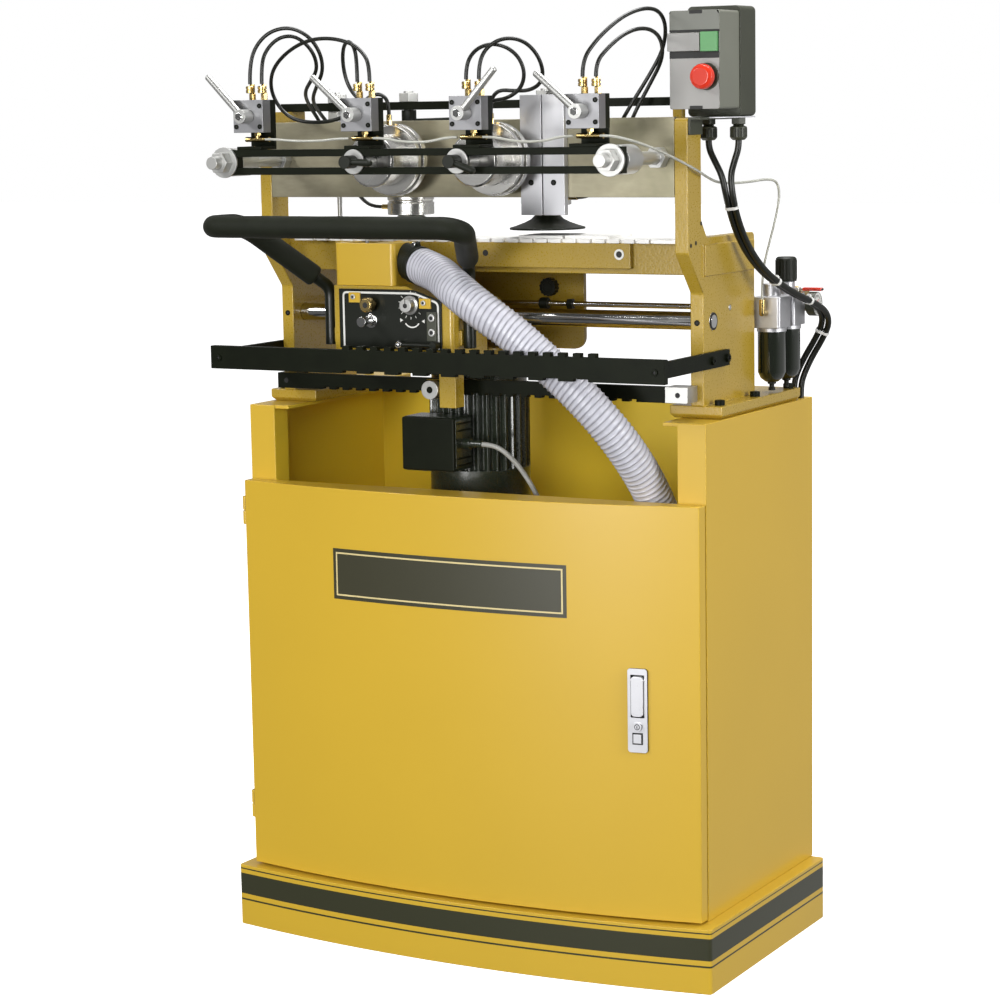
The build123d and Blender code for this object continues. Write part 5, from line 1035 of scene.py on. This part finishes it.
# white straps round the two switch cables, each after one of the route's points
cableStraps = {
    "slot": "switch_cable", "finishes": ["nylonWhite"], "after": (4, 8, 10, 13), "half": 5.2, "band": 4.5,
    "wall": 1.2, "head": (6, 4, 6), "headEdge": 0.6, "headAt": (0, -8, -1),
}
straps = []
for i in cableStraps["after"]:
    ends = [(Vector(cable["points"][i]), Vector(cable["points"][i + 1])) for cable in switchCables]
    middles = [(a + b) / 2 for a, b in ends]
    along = (ends[0][1] - ends[0][0]).normalized()
    across = middles[1] - middles[0]
    across -= along * across.dot(along)
    apart = across.length
    across.normalize()
    place = Matrix((across, along.cross(across), along)).transposed().to_4x4()
    place.translation = (middles[0] + middles[1]) / 2 * mm
    headPlace = place @ Matrix.Translation(Vector(cableStraps["headAt"]) * mm)
    straps.append((ovalBand(cableStraps["half"], apart / 2, cableStraps["band"], cableStraps["wall"]), place))
    straps.append((barShape(cableStraps["head"], cableStraps["headEdge"]), headPlace))
addFittings("cableStraps", cableStraps, straps)

# switch box: gland ribs, dark notches and joints on the cover, bracket plate
notch = barShape((21, 5, 0.6), 0.2)
switchTrim = {
    "slot": "switch_base", "finishes": ["moulded", "deepBlack", "satinZinc"],
    "rows": [
        {"shape": ribbedShape(13.3, 13, 18, 0.7), "at": [(368, -72, 1309), (418, -72, 1309)]},
        {"shape": notch, "at": [(392.5, -170, 1354.5), (392.5, -170, 1495.5)], "up": front,
         "finish": "deepBlack"},
        {"shape": barShape((81.6, 9.6, 0.4), 0.15), "at": [(390, -170, 1432)], "up": front,
         "finish": "deepBlack"},
        {"shape": barShape((81.6, 3, 0.4), 0.15), "at": [(390, -170, 1467.8)], "up": front,
         "finish": "deepBlack"},
        {"shape": barShape((62, 108, 2), 0.4), "at": [(401, -94, 1338)], "finish": "satinZinc"},
    ],
}
addFittings("switchTrim", switchTrim)

# air unit: bowl rings, drain cocks, dial marks, grips
bowlY = (100, 160)
drainCock = turnedShape([(7, 0), (7, 3), (4, 4.5), (4, 9), (5.5, 10), (5.5, 14), (0, 14)])
bowlTrim = {
    "slot": "air_bowls", "finishes": ["brushedAluminium", "moulded"],
    "rows": [
        {"shape": ringShape(22, 23.8, 6, 0.6), "at": [(398, y, 998) for y in bowlY]},
        {"shape": drainCock, "at": [(398, y, 917) for y in bowlY], "up": down, "finish": "moulded"},
    ],
}
addFittings("bowlTrim", bowlTrim)
dialMarks = {
    "slot": "pressure_gauge", "finishes": ["deepBlack", "redPlastic"], "centre": (434.6, 202, 1035),
    "count": 25, "firstAngle": -45, "sweep": 270, "longEvery": 6,
    "long": {"size": (0.7, 4.2, 0.25), "reach": 12.4}, "short": {"size": (0.7, 2.6, 0.25), "reach": 13.2},
    "rows": [
        {"shape": barShape((1.1, 15, 0.3), 0.1), "at": [(434.7, 202, 1038)], "up": right,
         "finish": "redPlastic", "turn": 35},
        {"shape": discShape(2.2, 0.8), "at": [(434.6, 202, 1035)], "up": right},
    ],
}
marks = []
for i in range(dialMarks["count"]):
    angle = dialMarks["firstAngle"] + i * dialMarks["sweep"] / (dialMarks["count"] - 1)
    mark = dialMarks["short" if i % dialMarks["longEvery"] else "long"]
    marks.append((barShape(mark["size"], markEdge), onDial(dialMarks["centre"], "Y", angle, mark["reach"])))
addFittings("dialMarks", dialMarks, marks)
knobGrip = {
    "slot": "regulator_knob", "finishes": ["moulded"],
    "rows": [{"shape": ribbedShape(17.6, 30, 20, 0.9), "at": [(398, 160, 1078)]}],
}
addFittings("knobGrip", knobGrip)
shutoffGrip = {
    "slot": "shutoff_lever", "finishes": ["redPlastic"],
    "rows": [{"shape": barShape((34, 11.5, 5.5), 1.8), "at": [(427, 202, 1055.9)]}],
}
addFittings("shutoffGrip", shutoffGrip)

# panel on the carriage: pale border, scale, block with two screws, gold clips
border = outlineBand([(-199, 960), (-199, 1074), (-66, 1074), (-22, 1059), (-22, 960)], 7, 3.2, 0.3, 985)
scaleArc = turnedShape([(14, 0), (14, 0.25), (16, 0.25), (16, 0)], 16, 110)
pointer = prismShape(3, 3.6, 0.3, 0.1)
blockFront, clipFront = panelFront - 6, panelFront - 3
panelTrim = {
    "slot": "belt_panel", "finishes": ["whitePaint", "darkPlastic", "satinSteel", "deepBlack", "glossEnamel"],
    "ticks": 14, "tick": (0.9, 4, 0.25), "tickReach": 20.5, "tickCentre": (-73, panelFront, 1054),
    "rows": [
        {"shape": border, "at": [(0, panelFront, 0)], "up": front},
        {"shape": scaleArc, "at": [(-71, panelFront, 1034)], "up": front, "turn": 215},
        {"shape": pointer, "at": [(-91, panelFront, 1030)], "up": front, "turn": 30},
        {"shape": pointer, "at": [(-50, panelFront, 1029)], "up": front, "turn": 90},
        # painted shade: a flat near-black hexagon stands for the socket in the brass knob's front
        {"shape": prismShape(6, 5, 0.4, 0.1), "at": [(-144, -257, 1054)], "up": front, "finish": "deepBlack"},
        {"shape": barShape((17, 46, 6), 1.0), "at": [(-33, panelFront, 1021)], "up": front,
         "finish": "darkPlastic"},
        {"shape": socketScrew(5.9, 2.4, 3.4), "at": [(-32, blockFront, z) for z in (1035, 1012)], "up": front,
         "finish": "satinSteel"},
        {"shape": barShape((21, 16, 3), 0.7), "at": [(-175.5, panelFront, 1064.5), (-46, panelFront, 1057)],
         "up": front, "finish": "glossEnamel"},
        {"shape": socketScrew(4.2, 2.4, 2.2), "at": [(-177.5, clipFront, 1065.5), (-48, clipFront, 1058)],
         "up": front, "finish": "satinSteel"},
    ],
}
ticks = []
for i in range(panelTrim["ticks"]):
    place = onDial(panelTrim["tickCentre"], "X", i * 360 / panelTrim["ticks"], panelTrim["tickReach"])
    ticks.append((barShape(panelTrim["tick"], markEdge), place))
addFittings("panelTrim", panelTrim, ticks)

# index knob's front: a dark hexagon, painted shade in its socket, and a dark pointer line; ball on the lock
# lever's end
knobFront = min(spot.co.y for spot in nodes["index_knob"].data.vertices) / mm
indexSocketAndMark = {
    "slot": "index_knob", "finishes": ["deepBlack"],
    "rows": [
        {"shape": prismShape(6, 4.2, 0.3, 0.1), "at": [(-73, knobFront, 1054)], "up": front},
        {"shape": barShape((1.2, 7, 0.3), 0.1), "at": [(-73, knobFront, 1061)], "up": front},
    ],
}
addFittings("indexSocketAndMark", indexSocketAndMark)
lockBall = turnedShape([(0, -6.5), (3.4, -5.5), (5.6, -3.2), (6.5, 0), (5.6, 3.2), (3.4, 5.5), (0, 6.5)])
lockTip = {
    "slot": "lock_lever", "finishes": ["chromePlate"],
    "rows": [{"shape": lockBall, "at": [(-90, -246, 992)], "up": front}],
}
addFittings("lockTip", lockTip)

# hose clip at the hood's port, square to the hose's first run
clip = {"axis": (0.919, -0.342, -0.198), "start": 1.5, "boxAt": 1.5, "boxLift": 30.5, "screwAt": 5,
        "screwShift": (-3, -7, 33)}
clipAxis = Vector(clip["axis"]).normalized()
clipAt = Vector(dustHose["points"][0]) + clipAxis * clip["start"]
boxAt = clipAt + clipAxis * clip["boxAt"] + Vector((0, 0, clip["boxLift"]))
screwAt = clipAt + clipAxis * clip["screwAt"] + Vector(clip["screwShift"])
clipBand = turnedShape([(28.3, 0), (30.2, 0), (30.6, 0.6), (30.6, 9.4), (30.2, 10), (28.3, 10)], 40)
hoseClip = {
    "slot": "hood", "finishes": ["moulded", "chromePlate", "deepBlack"],
    "rows": [
        {"shape": clipBand, "at": [clipAt], "up": tuple(clipAxis)},
        {"shape": barShape((13, 7, 7), 1.0), "at": [boxAt], "up": tuple(clipAxis)},
        {"shape": socketScrew(3.4, 4, 1.8), "at": [screwAt], "up": front, "finish": "chromePlate"},
    ],
}
addFittings("hoseClip", hoseClip)

# terminal box on the motor: lid and side ribs
terminalTrim = {
    "slot": "motor", "finishes": ["blackOxide"],
    "rows": [
        {"shape": barShape((97, 86, 9), 3.5), "at": [(-74.5, -180, 828)], "up": front},
        {"shape": barShape((3, 42, 2), 0.8), "at": [(-25, -159, z) for z in (794, 805, 850, 861)],
         "up": right},
    ],
}
addFittings("terminalTrim", terminalTrim)

# door: a bare dark panel with a thin pale line, laid on the bowed front
doorPanel = {
    "slot": "door", "finishes": ["panelInk", "creamPaint"], "bowRadius": 2051.6, "bowCentre": 1795.6,
    "steps": 48, "sheet": (-224, 202, 576, 659), "sheetThick": 0.8, "sheetLift": 0.3,
    "line": (-218, 196, 582, 653), "lineWidth": 2.5, "lineThick": 0.5, "lineLift": 0.9,
}


def doorSheet(bm, x0, x1, z0, z1, thick, finish):
    sheet = bmesh.new()
    bmesh.ops.create_grid(sheet, x_segments=doorPanel["steps"], y_segments=1, size=0.5)
    bmesh.ops.scale(sheet, vec=((x1 - x0) * mm, (z1 - z0) * mm, 1), verts=sheet.verts)
    bmesh.ops.solidify(sheet, geom=sheet.faces[:], thickness=thick * mm)
    stamp(bm, outwardMesh(sheet), ((x0 + x1) / 2, 0, (z0 + z1) / 2), front, finish)


def onDoor(bm, lift):
    outward = doorPanel["bowRadius"] + lift
    for spot in bm.verts:
        spot.co.y -= (math.sqrt(outward ** 2 - (spot.co.x / mm) ** 2) - doorPanel["bowCentre"]) * mm


def addDoorPanel(look):
    bm = bmesh.new()
    doorSheet(bm, *look["sheet"], look["sheetThick"], 0)
    onDoor(bm, look["sheetLift"])
    x0, x1, z0, z1 = look["line"]
    wide = look["lineWidth"]
    line = bmesh.new()
    for strip in ((x0, x1, z1 - wide, z1), (x0, x1, z0, z0 + wide), (x0, x0 + wide, z0 + wide, z1 - wide),
                  (x1 - wide, x1, z0 + wide, z1 - wide)):
        doorSheet(line, *strip, look["lineThick"], 1)
    onDoor(line, look["lineLift"])
    bm.from_mesh(asMesh(line))
    makePiece("doorPanel", bm, look)


addDoorPanel(doorPanel)

# latch: key barrel's rim and slot, dark gap round the button; the near-black gap round the plug, key slot and
# gap round the button are painted shade
def onLatch(spot):
    return latchAt - latchIn * spot["out"] - Vector((0, 0, spot["drop"]))


latchOut = tuple(-latchIn)
keyAt, buttonAt = onLatch(latch["key"]), onLatch(latch["button"])
latchTrim = {
    "slot": "latch_housing", "finishes": ["satinZinc", "deepBlack"],
    "rows": [
        {"shape": ringShape(4.6, 7.2, 1.0), "at": [keyAt], "up": latchOut},
        {"shape": discShape(4.7, 0.3, 0.1), "at": [keyAt], "up": latchOut, "finish": "deepBlack"},
        {"shape": discShape(3.4, 0.8, 0.2), "at": [keyAt], "up": latchOut},
        {"shape": barShape((1.4, 4.6, 1.0), 0.1), "at": [keyAt], "up": latchOut, "finish": "deepBlack",
         "turn": latch["turn"]},
        {"shape": barShape((17, 18.5, 0.4), 0.1), "at": [buttonAt], "up": latchOut, "finish": "deepBlack",
         "turn": latch["turn"]},
    ],
}
addFittings("latchTrim", latchTrim)
print("fittings made")
